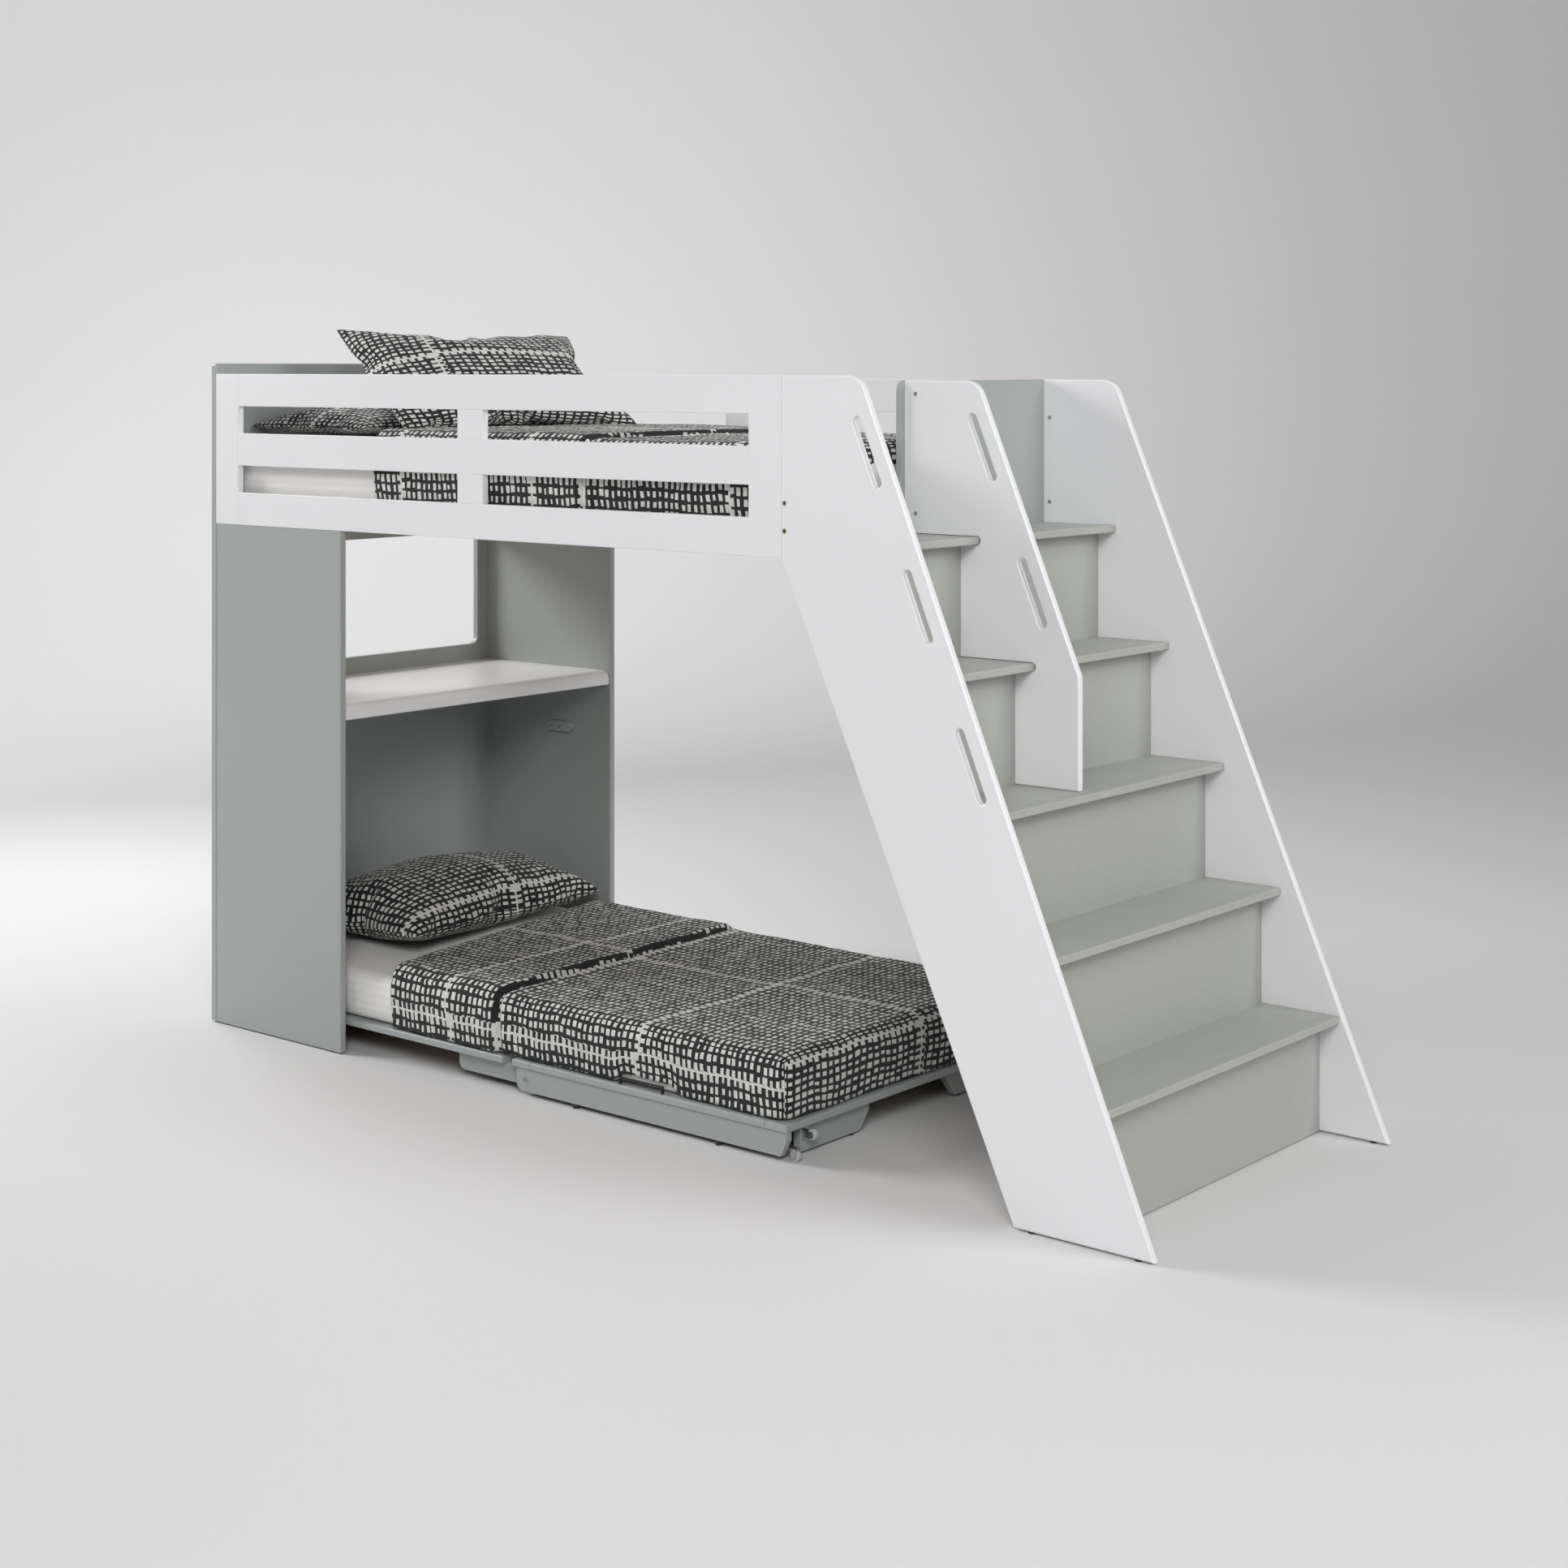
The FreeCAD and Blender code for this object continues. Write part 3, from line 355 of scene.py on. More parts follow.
def dress(piece, material, slot, body, *nodes):
    """Give a finished piece its material, hang it on its body and let it stand for its CAD nodes. The slot
    argument is not used.
    """
    piece.data.materials.clear()
    piece.data.materials.append(material)
    if nodes:
        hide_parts(*nodes)
    if body:
        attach(piece, body)
    return piece


def settle(piece):
    """Apply a piece's modifiers to its mesh."""
    graph = bpy.context.evaluated_depsgraph_get()
    mesh = bpy.data.meshes.new_from_object(piece.evaluated_get(graph))
    piece.modifiers.clear()
    piece.data = mesh
    for polygon in mesh.polygons:
        polygon.use_smooth = True


def paint(nodes, material):
    for name in nodes:
        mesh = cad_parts[name].data
        mesh.materials.clear()
        mesh.materials.append(material)


def ease(value):
    """Smooth step from 0 to 1."""
    value = min(1.0, max(0.0, value))
    return value * value * (3 - 2 * value)


def stations(start, end, step, fine=(), fine_step=3 * MM):
    """Places along a line, closer together inside the fine (low, high) stretches."""
    places = [start]
    while places[-1] < end - 1e-6:
        here = places[-1]
        close = any(low <= here <= high for low, high in fine)
        places.append(min(end, here + (fine_step if close else step)))
    return places


def unfolded(low, high, radius, step, sides, fine=(), soft_ends=()):
    """Cloth wrapped over a block. Every side is a grid that is welded to its neighbours, and keeps the
    cloth's flat coordinates. Returns (sharp places, rounded places, outward directions, faces, coordinates).
    The ends named in soft_ends aren't rounded."""
    inner_low = [low[i] + radius for i in range(3)]
    inner_high = [high[i] - radius for i in range(3)]
    for axis, at_high in soft_ends:
        if at_high:
            inner_high[axis] = 1e3
        else:
            inner_low[axis] = -1e3
    xs = stations(low[0], high[0], step, fine)
    ys = stations(low[1], high[1], step)
    zs = stations(low[2], high[2], step)
    place_of = {
        "top": (xs, ys, lambda a, b: ((a, b, high[2]), (a, b))),
        "under": (xs, ys, lambda a, b: ((a, b, low[2]), (a, b))),
        "front": (xs, zs, lambda a, b: ((a, low[1], b), (a, low[1] - (high[2] - b)))),
        "back": (xs, zs, lambda a, b: ((a, high[1], b), (a, high[1] + (high[2] - b)))),
        "foot": (ys, zs, lambda a, b: ((high[0], a, b), (high[0] + (high[2] - b), a))),
        "head": (ys, zs, lambda a, b: ((low[0], a, b), (low[0] - (high[2] - b), a))),
    }
    flipped = ("under", "back", "head")
    index, sharp, faces, coordinates = {}, [], [], []
    for side in sides:
        first, second, place = place_of[side]
        grid = []
        for a in first:
            line = []
            for b in second:
                point, flat = place(a, b)
                key = tuple(round(c, 5) for c in point)
                if key not in index:
                    index[key] = len(sharp)
                    sharp.append(Vector(point))
                line.append((index[key], flat))
            grid.append(line)
        for i in range(len(first) - 1):
            for j in range(len(second) - 1):
                corners = [grid[i][j], grid[i + 1][j], grid[i + 1][j + 1], grid[i][j + 1]]
                if side in flipped:
                    corners.reverse()
                faces.append([corner[0] for corner in corners])
                coordinates += [corner[1] for corner in corners]
    rounded, outward = [], []
    for point in sharp:
        core = Vector([min(max(point[i], inner_low[i]), inner_high[i]) for i in range(3)])
        direction = point - core
        direction.normalize()
        rounded.append(core + direction * radius)
        outward.append(direction)
    return sharp, rounded, outward, faces, coordinates


# ------------------------------------------------------------------ settings

class LoftFinishes(bpy.types.PropertyGroup):
    """Colours of the boards, the hardware and the bedding."""
    white: FloatVectorProperty(name="White lacquer", description="Guards, stringers and desk",
                               subtype="COLOR", min=0, max=1, default=from_hex("#EEEEF0"))
    grey: FloatVectorProperty(name="Grey lacquer", description="Panels, end board and low bed",
                              subtype="COLOR", min=0, max=1, default=from_hex("#A6ABA9"))
    steps: FloatVectorProperty(name="Step grey", description="Treads and risers", subtype="COLOR",
                               min=0, max=1, default=from_hex("#AEB0AB"))
    sheet: FloatVectorProperty(name="Sheet", description="Fitted sheets", subtype="COLOR",
                               min=0, max=1, default=from_hex("#FAF9F7"))
    print_ground: FloatVectorProperty(name="Print ground", description="Ground of the printed bedding",
                                      subtype="COLOR", min=0, max=1, default=from_hex("#161E1D"))
    print_figure: FloatVectorProperty(name="Print figure", description="Pale blocks of the printed bedding",
                                      subtype="COLOR", min=0, max=1, default=from_hex("#E6E5E0"))


class LoftBedding(bpy.types.PropertyGroup):
    """Sizes of the bedding and its print."""
    print_pitch: FloatProperty(name="Print pitch", description="Distance between the strokes along the bed",
                               unit="LENGTH", default=0.0185, min=0.005, max=0.1)
    print_stretch: FloatProperty(name="Cell stretch", description="A cell's height over its width",
                                 default=1.32, min=0.5, max=3.0)
    print_gap: FloatProperty(name="Stroke width", description="Dark stroke as a share of the pitch",
                             subtype="FACTOR", default=0.50, min=0.05, max=0.8)
    print_block: IntProperty(name="Block", description="Cells between two toothed lines", default=25,
                             min=4, max=80)
    stripe: FloatProperty(name="Sheet stripe", description="Width of one woven stripe", unit="LENGTH",
                          default=0.011, min=0.002, max=0.05)
    pillow_length: FloatProperty(name="Pillow length", description="Flat length of a pillow case",
                                 unit="LENGTH", default=0.82, min=0.3, max=1.2)
    pillow_width: FloatProperty(name="Pillow width", description="Flat width of a pillow case",
                                unit="LENGTH", default=0.54, min=0.2, max=0.9)
    upper_fold: FloatProperty(name="Upper turned-back part", description="Turned-back length, upper duvet",
                              unit="LENGTH", default=0.73, min=0.1, max=1.0)
    low_fold: FloatProperty(name="Low turned-back part", description="Turned-back length, low duvet",
                            unit="LENGTH", default=0.545, min=0.1, max=0.8)
    low_skew: FloatProperty(name="Low duvet slant", unit="LENGTH", default=0.17, min=0.0, max=0.4,
                            description="How much further along its head edge is in front")
    fold_rise: FloatProperty(name="Turned-back rise", description="Step at the turned-back edge",
                             unit="LENGTH", default=0.013, min=0.0, max=0.05)


class LoftStudio(bpy.types.PropertyGroup):
    """Camera and light."""
    distance: FloatProperty(name="Camera distance", unit="LENGTH", default=6.46, min=1, max=30,
                            description="Level distance from camera to the bed's middle")
    height: FloatProperty(name="Camera height", description="Height of the lens", unit="LENGTH",
                          default=1.7794, min=0.1, max=10)
    focal: FloatProperty(name="Focal length", description="Lens focal length in millimetres",
                         default=59.03, min=10, max=300)
    paper: FloatVectorProperty(name="Cove", description="Studio floor and wall", subtype="COLOR",
                               min=0, max=1, default=from_hex("#DFDEDE"))


# ------------------------------------------------------------------ stage

class LOFT_OT_studio(bpy.types.Operator):
    """Set up the camera, the lights and the seamless cove"""
    bl_idname = "loft.studio"
    bl_label = "Studio"

    def execute(self, context):
        studio = context.scene.loft_studio
        camera = bpy.data.cameras.new("studio_camera")
        camera.lens = studio.focal
        camera.sensor_width = 36.0
        camera.shift_x, camera.shift_y = 0.0549, -0.2644
        camera.clip_end = 100
        eye = bpy.data.objects.new("studio_camera", camera)
        bearing, look = math.radians(39.49), math.radians(40.66)
        eye.location = (studio.distance * math.sin(bearing), -studio.distance * math.cos(bearing),
                        studio.height)
        eye.rotation_euler = (math.radians(90), 0, look)
        context.scene.collection.objects.link(eye)
        context.scene.camera = eye
        context.scene.view_settings.view_transform = "Standard"
        self.cove(studio.paper)
        self.lights(context.scene)
        return {"FINISHED"}

    def cove(self, colour):
        """A round seamless cove: floor, swept corner and wall, well outside the bed."""
        floor_reach, sweep, wall = 5.6, 8.0, 11.0
        bends = 24
        profile = [(0.0, 0.0), (2.0, 0.0), (4.0, 0.0), (floor_reach, 0.0)]
        for i in range(1, bends + 1):
            angle = math.radians(90 * i / bends)
            profile.append((floor_reach + sweep * math.sin(angle), sweep * (1 - math.cos(angle))))
        profile.append((floor_reach + sweep, wall))
        count = 96
        vertices = [(0.0, 0.0, 0.0)]
        for reach, rise in profile[1:]:
            for i in range(count):
                turn = 2 * math.pi * i / count
                vertices.append((reach * math.cos(turn), reach * math.sin(turn), rise))
        faces = [(0, 1 + i, 1 + (i + 1) % count) for i in range(count)]
        for ring in range(len(profile) - 2):
            for i in range(count):
                a, b = 1 + ring * count + i, 1 + ring * count + (i + 1) % count
                faces.append((a, a + count, b + count, b))
        cove = made("studio_cove", vertices, faces)
        cove.data.materials.append(studio_paper("matte_cove_paint", colour))

    def lights(self, scene):
        world = bpy.data.worlds.new("studio_air")
        world.use_nodes = True
        world.node_tree.nodes["Background"].inputs[0].default_value = (0.93, 0.96, 1.0, 1)
        world.node_tree.nodes["Background"].inputs[1].default_value = 0.04
        scene.world = world
        for name, place, aim, size, power in (
                ("left_softbox", (-6.0, -2.5, 4.0), (-0.5, 0, 0.9), (2.4, 2.4), 262),
                ("front_right_softbox", (4.5, -5.5, 4.5), (0.5, 0, 0.9), (3.0, 2.6), 263),
                ("stair_softbox", (6.2, 1.2, 3.6), (1.2, 0.2, 0.7), (2.4, 2.4), 148),
                ("top_softbox", (0.3, 0.0, 5.6), (0.3, 0, 0), (4.0, 3.0), 48),
                ("window_softbox", (-3.6, 0.3, 2.4), (-1.2, 0.1, 0.9), (0.9, 0.9), 27),
                ("high_wall_wash", (-4.0, 2.5, 6.0), (-9.5, 6.0, 6.0), (4.0, 3.0), 430),
                ("low_wall_wash", (-4.5, 1.0, 4.0), (-8.0, 4.0, 0.5), (3.0, 3.0), 22),
                ("back_wall_wash", (0.0, 4.5, 5.0), (-2.0, 11.0, 2.0), (4.0, 2.5), 22),
                ("floor_wash", (-2.0, 2.6, 4.2), (-3.0, 5.0, 0), (3.0, 2.5), 36)):
            lamp = bpy.data.lights.new(name, "AREA")
            lamp.shape = "RECTANGLE"
            lamp.size, lamp.size_y = size
            lamp.energy = power
            light = bpy.data.objects.new(name, lamp)
            light.location = place
            light.rotation_euler = (Vector(aim) - Vector(place)).to_track_quat("-Z", "Y").to_euler()
            light.visible_camera = False
            scene.collection.objects.link(light)


# ------------------------------------------------------------------ boards and hardware

class LOFT_OT_boards(bpy.types.Operator):
    """Finish the panels, guards, stringers, desk, steps and slats"""
    bl_idname = "loft.boards"
    bl_label = "Boards"

    def execute(self, context):
        finishes = context.scene.loft_finishes
        white = sprayed_lacquer("white_satin_lacquer", finishes.white, 0.34, 0.03 * MM)
        grey = sprayed_lacquer("grey_satin_lacquer", finishes.grey, 0.42, 0.05 * MM)
        paint(["desk_top", "guard_posts", "front_top_rail", "front_middle_rail", "front_bottom_rail",
               "rear_top_rail", "rear_middle_rail", "rear_bottom_rail", "guard_stiles", "front_stringer",
               "middle_stringer", "rear_stringer"], white)
        paint(["rest_blocks", "end_panel", "front_leg_panel", "rear_leg_panel", "end_board", "head_frame",
               "head_arms", "head_end_legs", "foot_frame", "foot_aprons", "foot_end_legs"], grey)
        steps = [kind % number for number in range(1, 6) for kind in ("tread_%d", "riser_%d")]
        paint(steps + ["tread_cleats"], step_melamine(finishes.steps))
        paint(["slat_ledgers", "upper_slats", "head_slats", "foot_slats"], planed_pine())
        return {"FINISHED"}


def loose_boxes(node):
    """The box of each separate solid in a CAD node."""
    solid = bmesh.new()
    solid.from_mesh(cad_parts[node].data)
    bmesh.ops.remove_doubles(solid, verts=solid.verts, dist=1e-6)
    seen, boxes = set(), []
    for start in solid.verts:
        if start in seen:
            continue
        seen.add(start)
        group, edge = [start], [start]
        while edge:
            for link in edge.pop().link_edges:
                for vertex in link.verts:
                    if vertex not in seen:
                        seen.add(vertex)
                        group.append(vertex)
                        edge.append(vertex)
        boxes.append((Vector([min(v.co[i] for v in group) for i in range(3)]),
                      Vector([max(v.co[i] for v in group) for i in range(3)])))
    solid.free()
    return boxes


class LOFT_OT_hardware(bpy.types.Operator):
    """Finish the bolts, nuts, screws, brackets, wheels and glides, and paint the shade in the bolts' key
    sockets
    """
    bl_idname = "loft.hardware"
    bl_label = "Hardware"

    def execute(self, context):
        yellow = plated_steel("yellow_zinc_plate", from_hex("#C9AE72"), 0.34)
        bright = plated_steel("bright_zinc_plate", from_hex("#C6C8CA"), 0.30)
        nylon = moulded("moulded_nylon", from_hex("#C3C5C6"), 0.38)
        paint(["connector_bolts"], yellow)
        paint(["barrel_nuts", "tread_screws", "foot_axles", "pivot_bolts", "foot_caster_brackets",
               "head_caster_brackets"], bright)
        paint(["foot_wheels", "end_wheels", "head_wheels"], nylon)
        paint(["mattress_retainers"], powder_coat())
        paint(["floor_glides", "low_bed_glides"], moulded("moulded_polythene", from_hex("#2B2D2E"), 0.5))
        # the near-black here is painted shade for the socket hollows, not a finish of the bolts
        self.sockets(moulded("painted_socket_shade", from_hex("#1A1A1A"), 0.6))
        return {"FINISHED"}

    def sockets(self, material):
        """A key socket on every bolt head that shows: a dark hexagon of painted shade, standing for the
        shaded hollow of the socket, that stands just proud of the head, because the head itself isn't cut."""
        proud, corner_reach = 0.25 * MM, 2.6 * MM
        spots = {LOFT: [], FOOT: []}
        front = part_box("front_stringer")[0].y
        for low, high in loose_boxes("connector_bolts"):
            middle = (low + high) / 2
            if abs(low.y - front) < 1e-4:
                spots[LOFT].append((Vector((middle.x, low.y, middle.z)), Vector((0, -1, 0))))
            elif abs(low.x - CAD_BOX[0].x) < 1e-3:
                spots[LOFT].append((Vector((low.x, middle.y, middle.z)), Vector((-1, 0, 0))))
        reach = max(abs(low.y) for low, high in loose_boxes("pivot_bolts"))
        for low, high in loose_boxes("pivot_bolts"):
            middle = (low + high) / 2
            side = -1 if middle.y < 0 else 1
            face = low.y if side < 0 else high.y
            if abs(abs(face) - reach) < 1e-4:
                spots[FOOT].append((Vector((middle.x, face, middle.z)), Vector((0, side, 0))))
        for body, places in spots.items():
            vertices, faces = [], []
            for place, normal in places:
                turn = normal.to_track_quat("Z", "Y").to_matrix()
                start = len(vertices)
                for height in (0.0, proud):
                    for corner in range(6):
                        angle = math.radians(60 * corner)
                        flat = Vector((math.cos(angle), math.sin(angle), 0)) * corner_reach
                        vertices.append(place + turn @ (flat + Vector((0, 0, height))))
                faces.append(list(range(start + 6, start + 12)))
                for corner in range(6):
                    after = (corner + 1) % 6
                    faces.append([start + corner, start + after, start + 6 + after, start + 6 + corner])
            piece = made("key_sockets_" + body, vertices, faces, smooth=False)
            dress(piece, material, "yellow_zinc" if body == LOFT else "bright_zinc", body)


# ------------------------------------------------------------------ mattresses and duvets

def mattress(name, low, high, seed):
    """A foam mattress in a fitted sheet: crowned top, rounded edges and a few slack ripples."""
    radius = 30 * MM
    sharp, rounded, outward, faces, coordinates = unfolded(
        low, high, radius, 14 * MM, ("top", "front", "back", "foot", "head", "under"))
    length, width = high.x - low.x, high.y - low.y
    vertices = []
    for point, place, direction in zip(sharp, rounded, outward):
        across = 1 - abs(2 * (point.y - low.y) / width - 1) ** 4
        along = 1 - abs(2 * (point.x - low.x) / length - 1) ** 8
        lift = 0.0
        if direction.z > 0.7:
            lift += 4 * MM * across * along - 4 * MM
        elif direction.z > -0.7:
            share = (point.z - low.z) / (high.z - low.z)
            lift -= 5 * MM * (1 - math.sin(math.pi * share))
            lift += 1.6 * MM * noise.noise((point.x * 16 + seed, point.y * 3, point.z * 22))
        if direction.z > -0.7:
            lift += 1.2 * MM * noise.noise((point.x * 7 + seed, point.y * 7, point.z * 7))
        vertices.append(place + direction * lift)
    return made(name, vertices, faces, coordinates)


def duvet(name, low, high, hem, fold_edge, fold_rise, skew, line_at, seed, lifted=()):
    """A quilt over a mattress with its head end turned back: soft round edges, a foot end boxed at the
    corners, a gently uneven top and sides that bulge and ripple down to the hem. The head edge slants,
    and starts skew further along at the front. line_at is where two toothed lines of the print cross.
    lifted holds stretches (start, end, rise) where something below pushes the hem up."""
    radius, thickness = 40 * MM, 9 * MM
    flap_line = 170 * MM
    drop = high.z - hem
    width = high.y - low.y
    body_low = Vector((low.x, low.y, hem))
    sharp, rounded, outward, faces, coordinates = unfolded(
        body_low, high, radius, 9 * MM, ("top", "front", "back", "foot"),
        fine=((low.x, low.x + 30 * MM), (fold_edge - 60 * MM, fold_edge + 50 * MM)),
        soft_ends=((0, False), (2, False)))

    def slanted(x, y):
        """How far a place between the head edge and the crease moves along for the slanting edge."""
        share = 1 - min(1.0, (x - low.x) / (fold_edge - 80 * MM - low.x))
        return skew * share * min(1.0, max(0.0, (high.y - y) / width))

    vertices = []
    for point, place, direction in zip(sharp, rounded, outward):
        sideways = 1 - max(0.0, direction.z)
        fall = (high.z - point.z) / drop
        wander = 7 * MM * noise.noise((seed, point.y * 4, point.z * 4)) - 0.04 * (point.y - low.y)
        past = point.x - (fold_edge + wander)
        lift = 3.6 * MM * noise.noise((point.x * 5 + seed, point.y * 5, point.z * 5))
        lift += 1.5 * MM * noise.noise((point.x * 15, point.y * 15 + seed, point.z * 15))
        lift += 0.6 * MM * noise.noise((point.x * 40, point.y * 40 + seed, point.z * 40))
        lift += sideways * 6 * MM * (math.sin(math.pi * min(1, fall * 1.1)) - 0.5)
        lift += sideways * fall * 4.5 * MM * noise.noise((point.x * 9 + seed, point.y * 9, 0.5))
        over = fold_rise * (0.6 if sideways > 0.5 else 1.0)
        lift += over * (1 - ease(past / (9 * MM) + 0.5))
        lift -= 7 * MM * math.exp(-((past - 9 * MM) / (8 * MM)) ** 2)
        lift += 3 * MM * math.exp(-((past - 32 * MM) / (16 * MM)) ** 2)
        edge = (point.x - low.x) / (16 * MM)
        if edge < 1:
            lift -= 12 * MM * (1 - math.sqrt(max(0.0, 1 - (1 - edge) ** 2)))
        place = place + direction * (lift - 3 * MM)
        if sideways > 0.5:
            place.z += fall * 3.5 * MM * noise.noise((point.x * 6, point.y * 6 + seed, 3.1))
            for start, end, rise in lifted:
                inside = ease((point.x - start) / 0.03) * (1 - ease((point.x - end) / 0.03))
                place.z += fall ** 2 * rise * inside
        place.x += slanted(point.x, point.y)
        vertices.append(place)
    flats = []
    for number, face in enumerate(faces):
        turned_back = coordinates[4 * number][0] < fold_edge - 2 * MM
        for corner in range(4):
            across, along = coordinates[4 * number + corner]
            point = sharp[face[corner]]
            across += slanted(point.x, point.y)
            # the turned-back part shows its other end, so its print runs the other way, and its own
            # toothed line lies flap_line before the crease
            across = fold_edge - flap_line - across if turned_back else across - line_at[0]
            flats.append((across, along - line_at[1]))
    piece = made(name, vertices, faces, flats)
    shell = piece.modifiers.new("filling", "SOLIDIFY")
    shell.thickness = thickness
    shell.offset = -1
    settle(piece)
    return piece


def pillow(name, length, width, loft, seed, pressure):
    """A stuffed pillow case lying flat round the origin, long side along Y: two flat panels sewn round
    the edge and blown up by a cloth simulation, which leaves the corners pointed and the seams puckered."""
    across, along = 34, 48
    last_frame = 26
    vertices, faces, flats, index = [], [], [], {}
    for layer in (1, -1):
        for i in range(across + 1):
            for j in range(along + 1):
                rim = i in (0, across) or j in (0, along)
                key = (0 if rim else layer, i, j)
                if key in index:
                    continue
                index[key] = len(vertices)
                u, v = 2 * i / across - 1, 2 * j / along - 1
                puff = math.sqrt(max(0, (1 - u * u) * (1 - v * v)))
                rise = layer * (6 * MM + 24 * MM * puff) if not rim else 0.0
                # the edges bow out a little, because the filling draws them in
                vertices.append((u * width / 2 * (1 + 0.06 * (1 - v * v)),
                                 v * length / 2 * (1 + 0.045 * (1 - u * u)), rise))
        for i in range(across):
            for j in range(along):
                ring = [(i, j), (i + 1, j), (i + 1, j + 1), (i, j + 1)]
                if layer < 0:
                    ring.reverse()
                corners = []
                for a, b in ring:
                    rim = a in (0, across) or b in (0, along)
                    corners.append(index[(0 if rim else layer, a, b)])
                    # every pillow, and its under panel, is cut from another place of the print
                    flats.append((a / across * width + (0.31 if layer < 0 else 0) + seed * 0.17,
                                  b / along * length + seed * 0.09))
                faces.append(corners)
    piece = made(name, vertices, faces, flats)
    cloth = piece.modifiers.new("stuffing", "CLOTH")
    cloth.settings.quality = 7
    cloth.settings.mass = 0.25
    cloth.settings.tension_stiffness = 22
    cloth.settings.compression_stiffness = 12
    cloth.settings.shear_stiffness = 8
    cloth.settings.bending_stiffness = 0.12
    cloth.settings.air_damping = 2
    cloth.settings.use_pressure = True
    cloth.settings.uniform_pressure_force = pressure
    cloth.settings.effector_weights.gravity = 0
    cloth.point_cache.frame_start, cloth.point_cache.frame_end = 1, last_frame
    for number in range(1, last_frame + 1):
        bpy.context.scene.frame_set(number)
    settle(piece)
    bpy.context.scene.frame_set(1)
    share = loft / 2 / max(vertex.co.z for vertex in piece.data.vertices)
    for vertex in piece.data.vertices:
        vertex.co.z *= share
    smooth = piece.modifiers.new("smooth", "SUBSURF")
    smooth.levels = smooth.render_levels = 1
    settle(piece)
    for vertex in piece.data.vertices:
        vertex.co += vertex.normal * 2.2 * MM * noise.noise(vertex.co * 11 + Vector((seed, 0, 0)))
    return piece


def lay(piece, middle, turn, tilt=0.0):
    """Tilt a pillow about its long side, turn it and move its middle there."""
    piece.data.transform(Matrix.Translation(middle) @ Matrix.Rotation(math.radians(turn), 4, "Z")
                         @ Matrix.Rotation(math.radians(tilt), 4, "Y"))


def rest_on(piece, keep):
    """Flatten the underside of a pillow that lies on something to the share keep, and set its lowest
    point at zero."""
    for vertex in piece.data.vertices:
        if vertex.co.z < 0:
            vertex.co.z *= keep
    lowest = min(vertex.co.z for vertex in piece.data.vertices)
    for vertex in piece.data.vertices:
        vertex.co.z -= lowest


class LOFT_OT_upper_bedding(bpy.types.Operator):
    """Make the upper bed's mattress, duvet and two pillows"""
    bl_idname = "loft.upper_bedding"
    bl_label = "Upper bedding"

    def execute(self, context):
        bedding = context.scene.loft_bedding
        sheet, printed = bed_cloth(context)
        low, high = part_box("upper_mattress")
        piece = mattress("upper_fitted_mattress", low, high, 2.0)
        dress(piece, sheet, "sheet_satin", LOFT, "upper_mattress")

        low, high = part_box("upper_duvet")
        fold_edge = low.x + bedding.upper_fold
        piece = duvet("upper_quilt", Vector((low.x, low.y, low.z)), high, low.z + 6 * MM, fold_edge,
                      bedding.fold_rise, skew=0.0, line_at=(fold_edge + 20 * MM, low.y - 75 * MM), seed=5.0)
        dress(piece, printed, "printed_percale", LOFT, "upper_duvet")

        low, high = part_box("upper_pillow_flat")
        piece = pillow("upper_pillow_lying", bedding.pillow_length, bedding.pillow_width,
                       loft=0.15, seed=1.0, pressure=3.0)
        rest_on(piece, 0.45)
        middle = (low + high) / 2
        lay(piece, (middle.x + 5 * MM, middle.y, low.z), turn=-2)
        dress(piece, printed, "printed_percale", LOFT, "upper_pillow_flat")

        low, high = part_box("upper_pillow_leaning")
        piece = pillow("upper_pillow_propped", bedding.pillow_length, bedding.pillow_width,
                       loft=0.15, seed=4.0, pressure=3.0)
        middle = (low + high) / 2
        lay(piece, (middle.x - 30 * MM, middle.y - 20 * MM, middle.z - 6 * MM), turn=-14, tilt=34)
        dress(piece, printed, "printed_percale", LOFT, "upper_pillow_leaning")
        return {"FINISHED"}


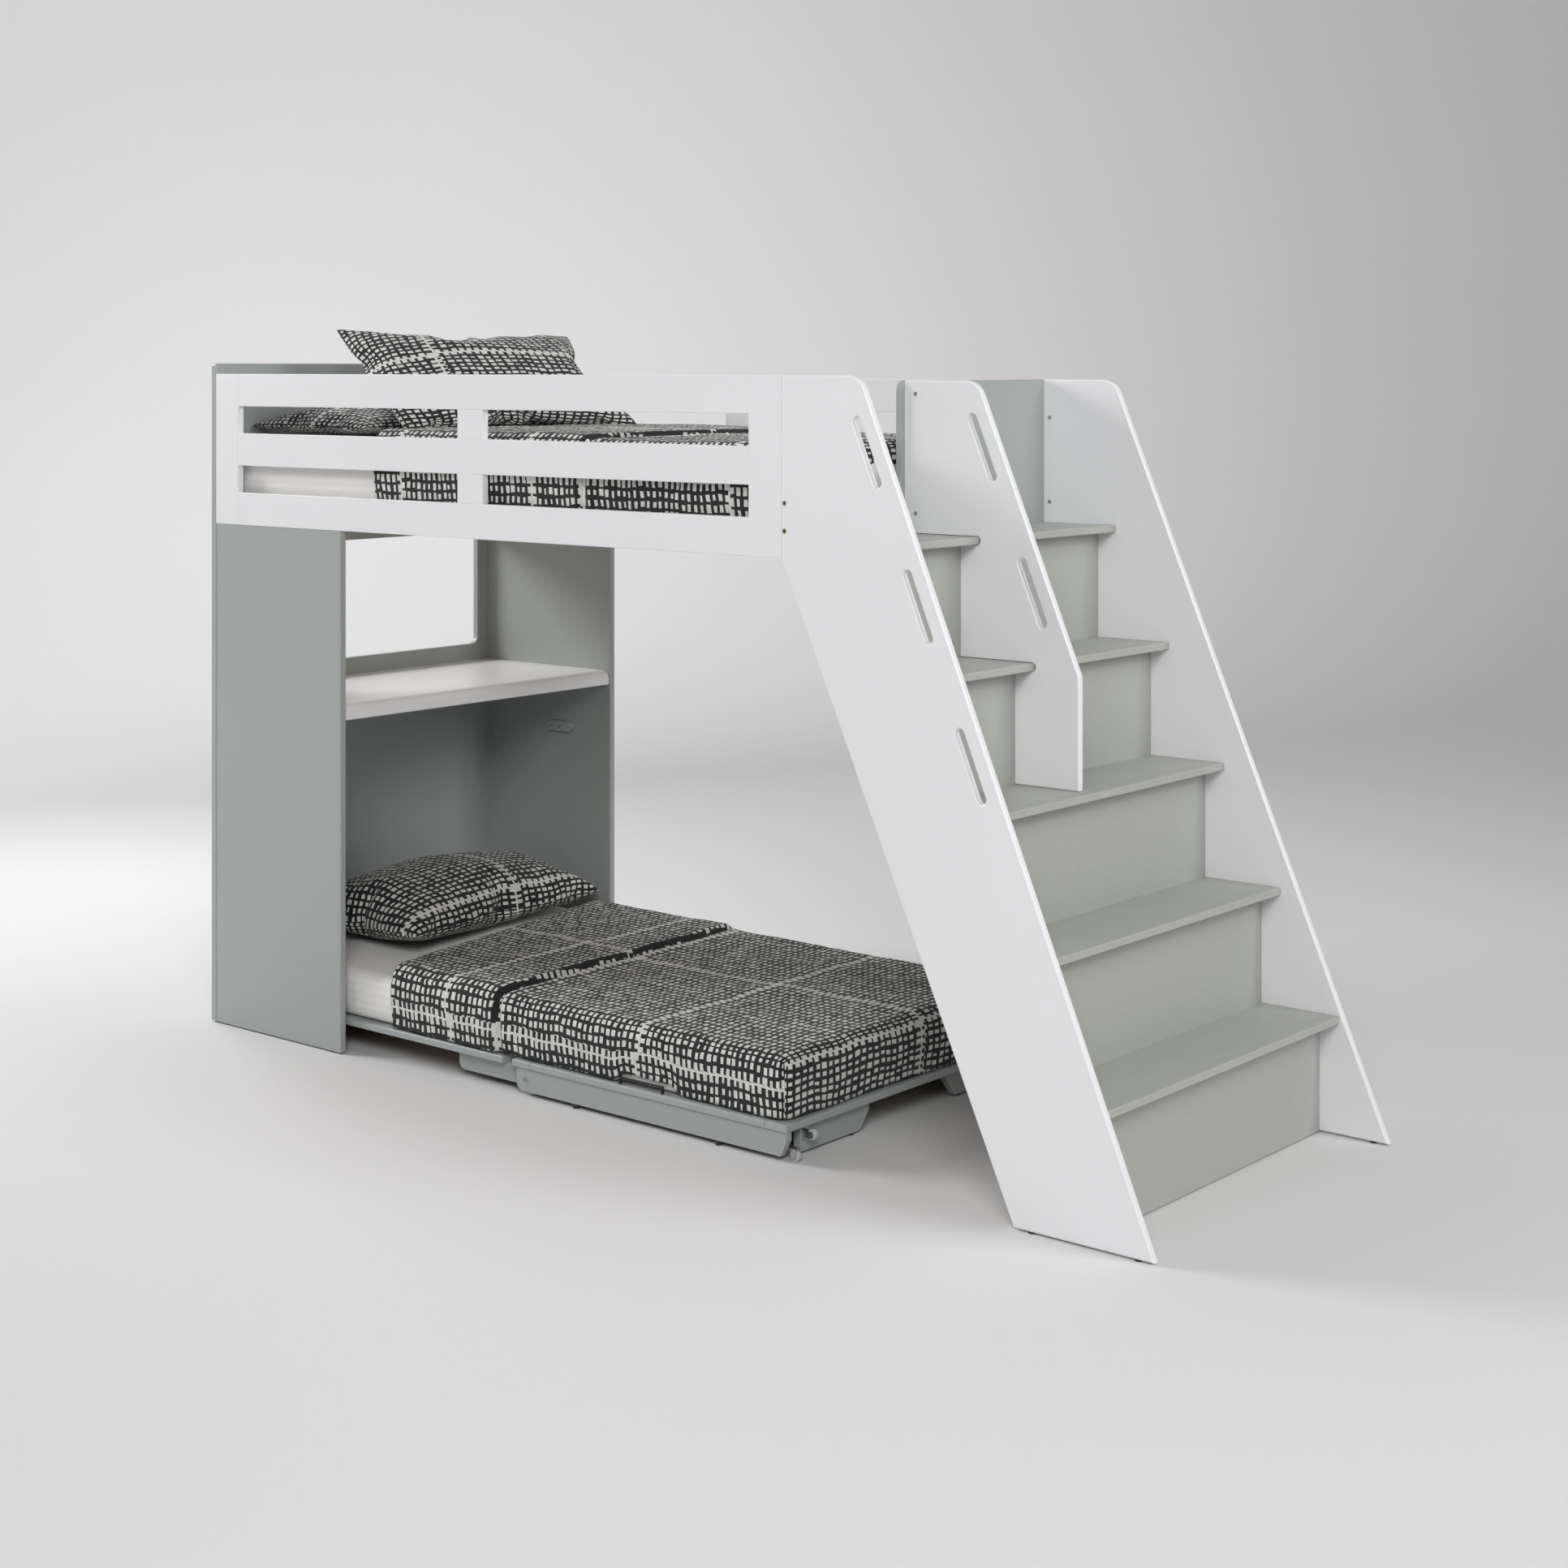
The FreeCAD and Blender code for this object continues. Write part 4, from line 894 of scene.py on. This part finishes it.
class LOFT_OT_low_bedding(bpy.types.Operator):
    """Make the folding bed's mattress, duvet and pillow; the pillow rides on the head section"""
    bl_idname = "loft.low_bedding"
    bl_label = "Low bedding"

    def execute(self, context):
        bedding = context.scene.loft_bedding
        sheet, printed = bed_cloth(context)

        low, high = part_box("low_mattress_head")[0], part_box("low_mattress_foot")[1]
        piece = mattress("low_fitted_mattress", low, high, 7.0)
        dress(piece, sheet, "sheet_satin", None, "low_mattress_head", "low_mattress_foot")
        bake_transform(piece)

        low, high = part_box("low_duvet_head")[0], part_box("low_duvet_foot")[1]
        fold_edge = low.x + bedding.low_fold
        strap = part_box("mattress_retainers")
        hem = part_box("foot_frame")[1].z + 5 * MM
        piece = duvet("low_quilt", Vector((low.x, low.y, hem)), high, hem, fold_edge, bedding.fold_rise,
                      bedding.low_skew, line_at=(fold_edge + 20 * MM, low.y - 75 * MM), seed=11.0,
                      lifted=((strap[0].x - 20 * MM, strap[1].x + 20 * MM, 19 * MM),))
        dress(piece, printed, "printed_percale", None, "low_duvet_head", "low_duvet_foot")
        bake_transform(piece)

        low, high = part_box("low_pillow")
        piece = pillow("low_pillow_lying", bedding.pillow_length, bedding.pillow_width,
                       loft=0.245, seed=8.0, pressure=7.0)
        rest_on(piece, 0.5)
        middle = (low + high) / 2
        lay(piece, (middle.x - 10 * MM, middle.y + 10 * MM, low.z), turn=4)
        dress(piece, printed, "printed_percale", HEAD, "low_pillow")
        return {"FINISHED"}


def bed_cloth(context):
    """The two bedding materials, made once."""
    finishes, bedding = context.scene.loft_finishes, context.scene.loft_bedding
    sheet = bpy.data.materials.get("striped_cotton_sateen") or striped_sateen(finishes.sheet, bedding.stripe)
    printed = bpy.data.materials.get("printed_cotton_percale") or printed_percale(
        finishes.print_ground, finishes.print_figure, bedding.print_pitch, bedding.print_stretch,
        bedding.print_gap, bedding.print_block)
    return sheet, printed


# ------------------------------------------------------------------ add-on

class LOFT_PT_panel(bpy.types.Panel):
    """Lists the loft bed's operators and settings"""
    bl_idname = "LOFT_PT_panel"
    bl_label = "Loft bed"
    bl_space_type = "VIEW_3D"
    bl_region_type = "UI"
    bl_category = "Loft bed"

    def draw(self, context):
        for group in (context.scene.loft_finishes, context.scene.loft_bedding, context.scene.loft_studio):
            column = self.layout.column()
            for key in group.__annotations__:
                column.prop(group, key)
        for operator in OPERATORS:
            self.layout.operator(operator.bl_idname)


OPERATORS = (LOFT_OT_studio, LOFT_OT_boards, LOFT_OT_hardware, LOFT_OT_upper_bedding, LOFT_OT_low_bedding)
GROUPS = (("loft_finishes", LoftFinishes), ("loft_bedding", LoftBedding), ("loft_studio", LoftStudio))


def register():
    for name, group in GROUPS:
        bpy.utils.register_class(group)
        setattr(bpy.types.Scene, name, PointerProperty(type=group))
    for operator in OPERATORS:
        bpy.utils.register_class(operator)
    bpy.utils.register_class(LOFT_PT_panel)


def unregister():
    bpy.utils.unregister_class(LOFT_PT_panel)
    for operator in reversed(OPERATORS):
        bpy.utils.unregister_class(operator)
    for name, group in reversed(GROUPS):
        delattr(bpy.types.Scene, name)
        bpy.utils.unregister_class(group)


def main():
    register()
    bpy.ops.loft.studio()
    bpy.ops.loft.boards()
    bpy.ops.loft.hardware()
    bpy.ops.loft.upper_bedding()
    bpy.ops.loft.low_bedding()


if __name__ == "__main__":
    main()
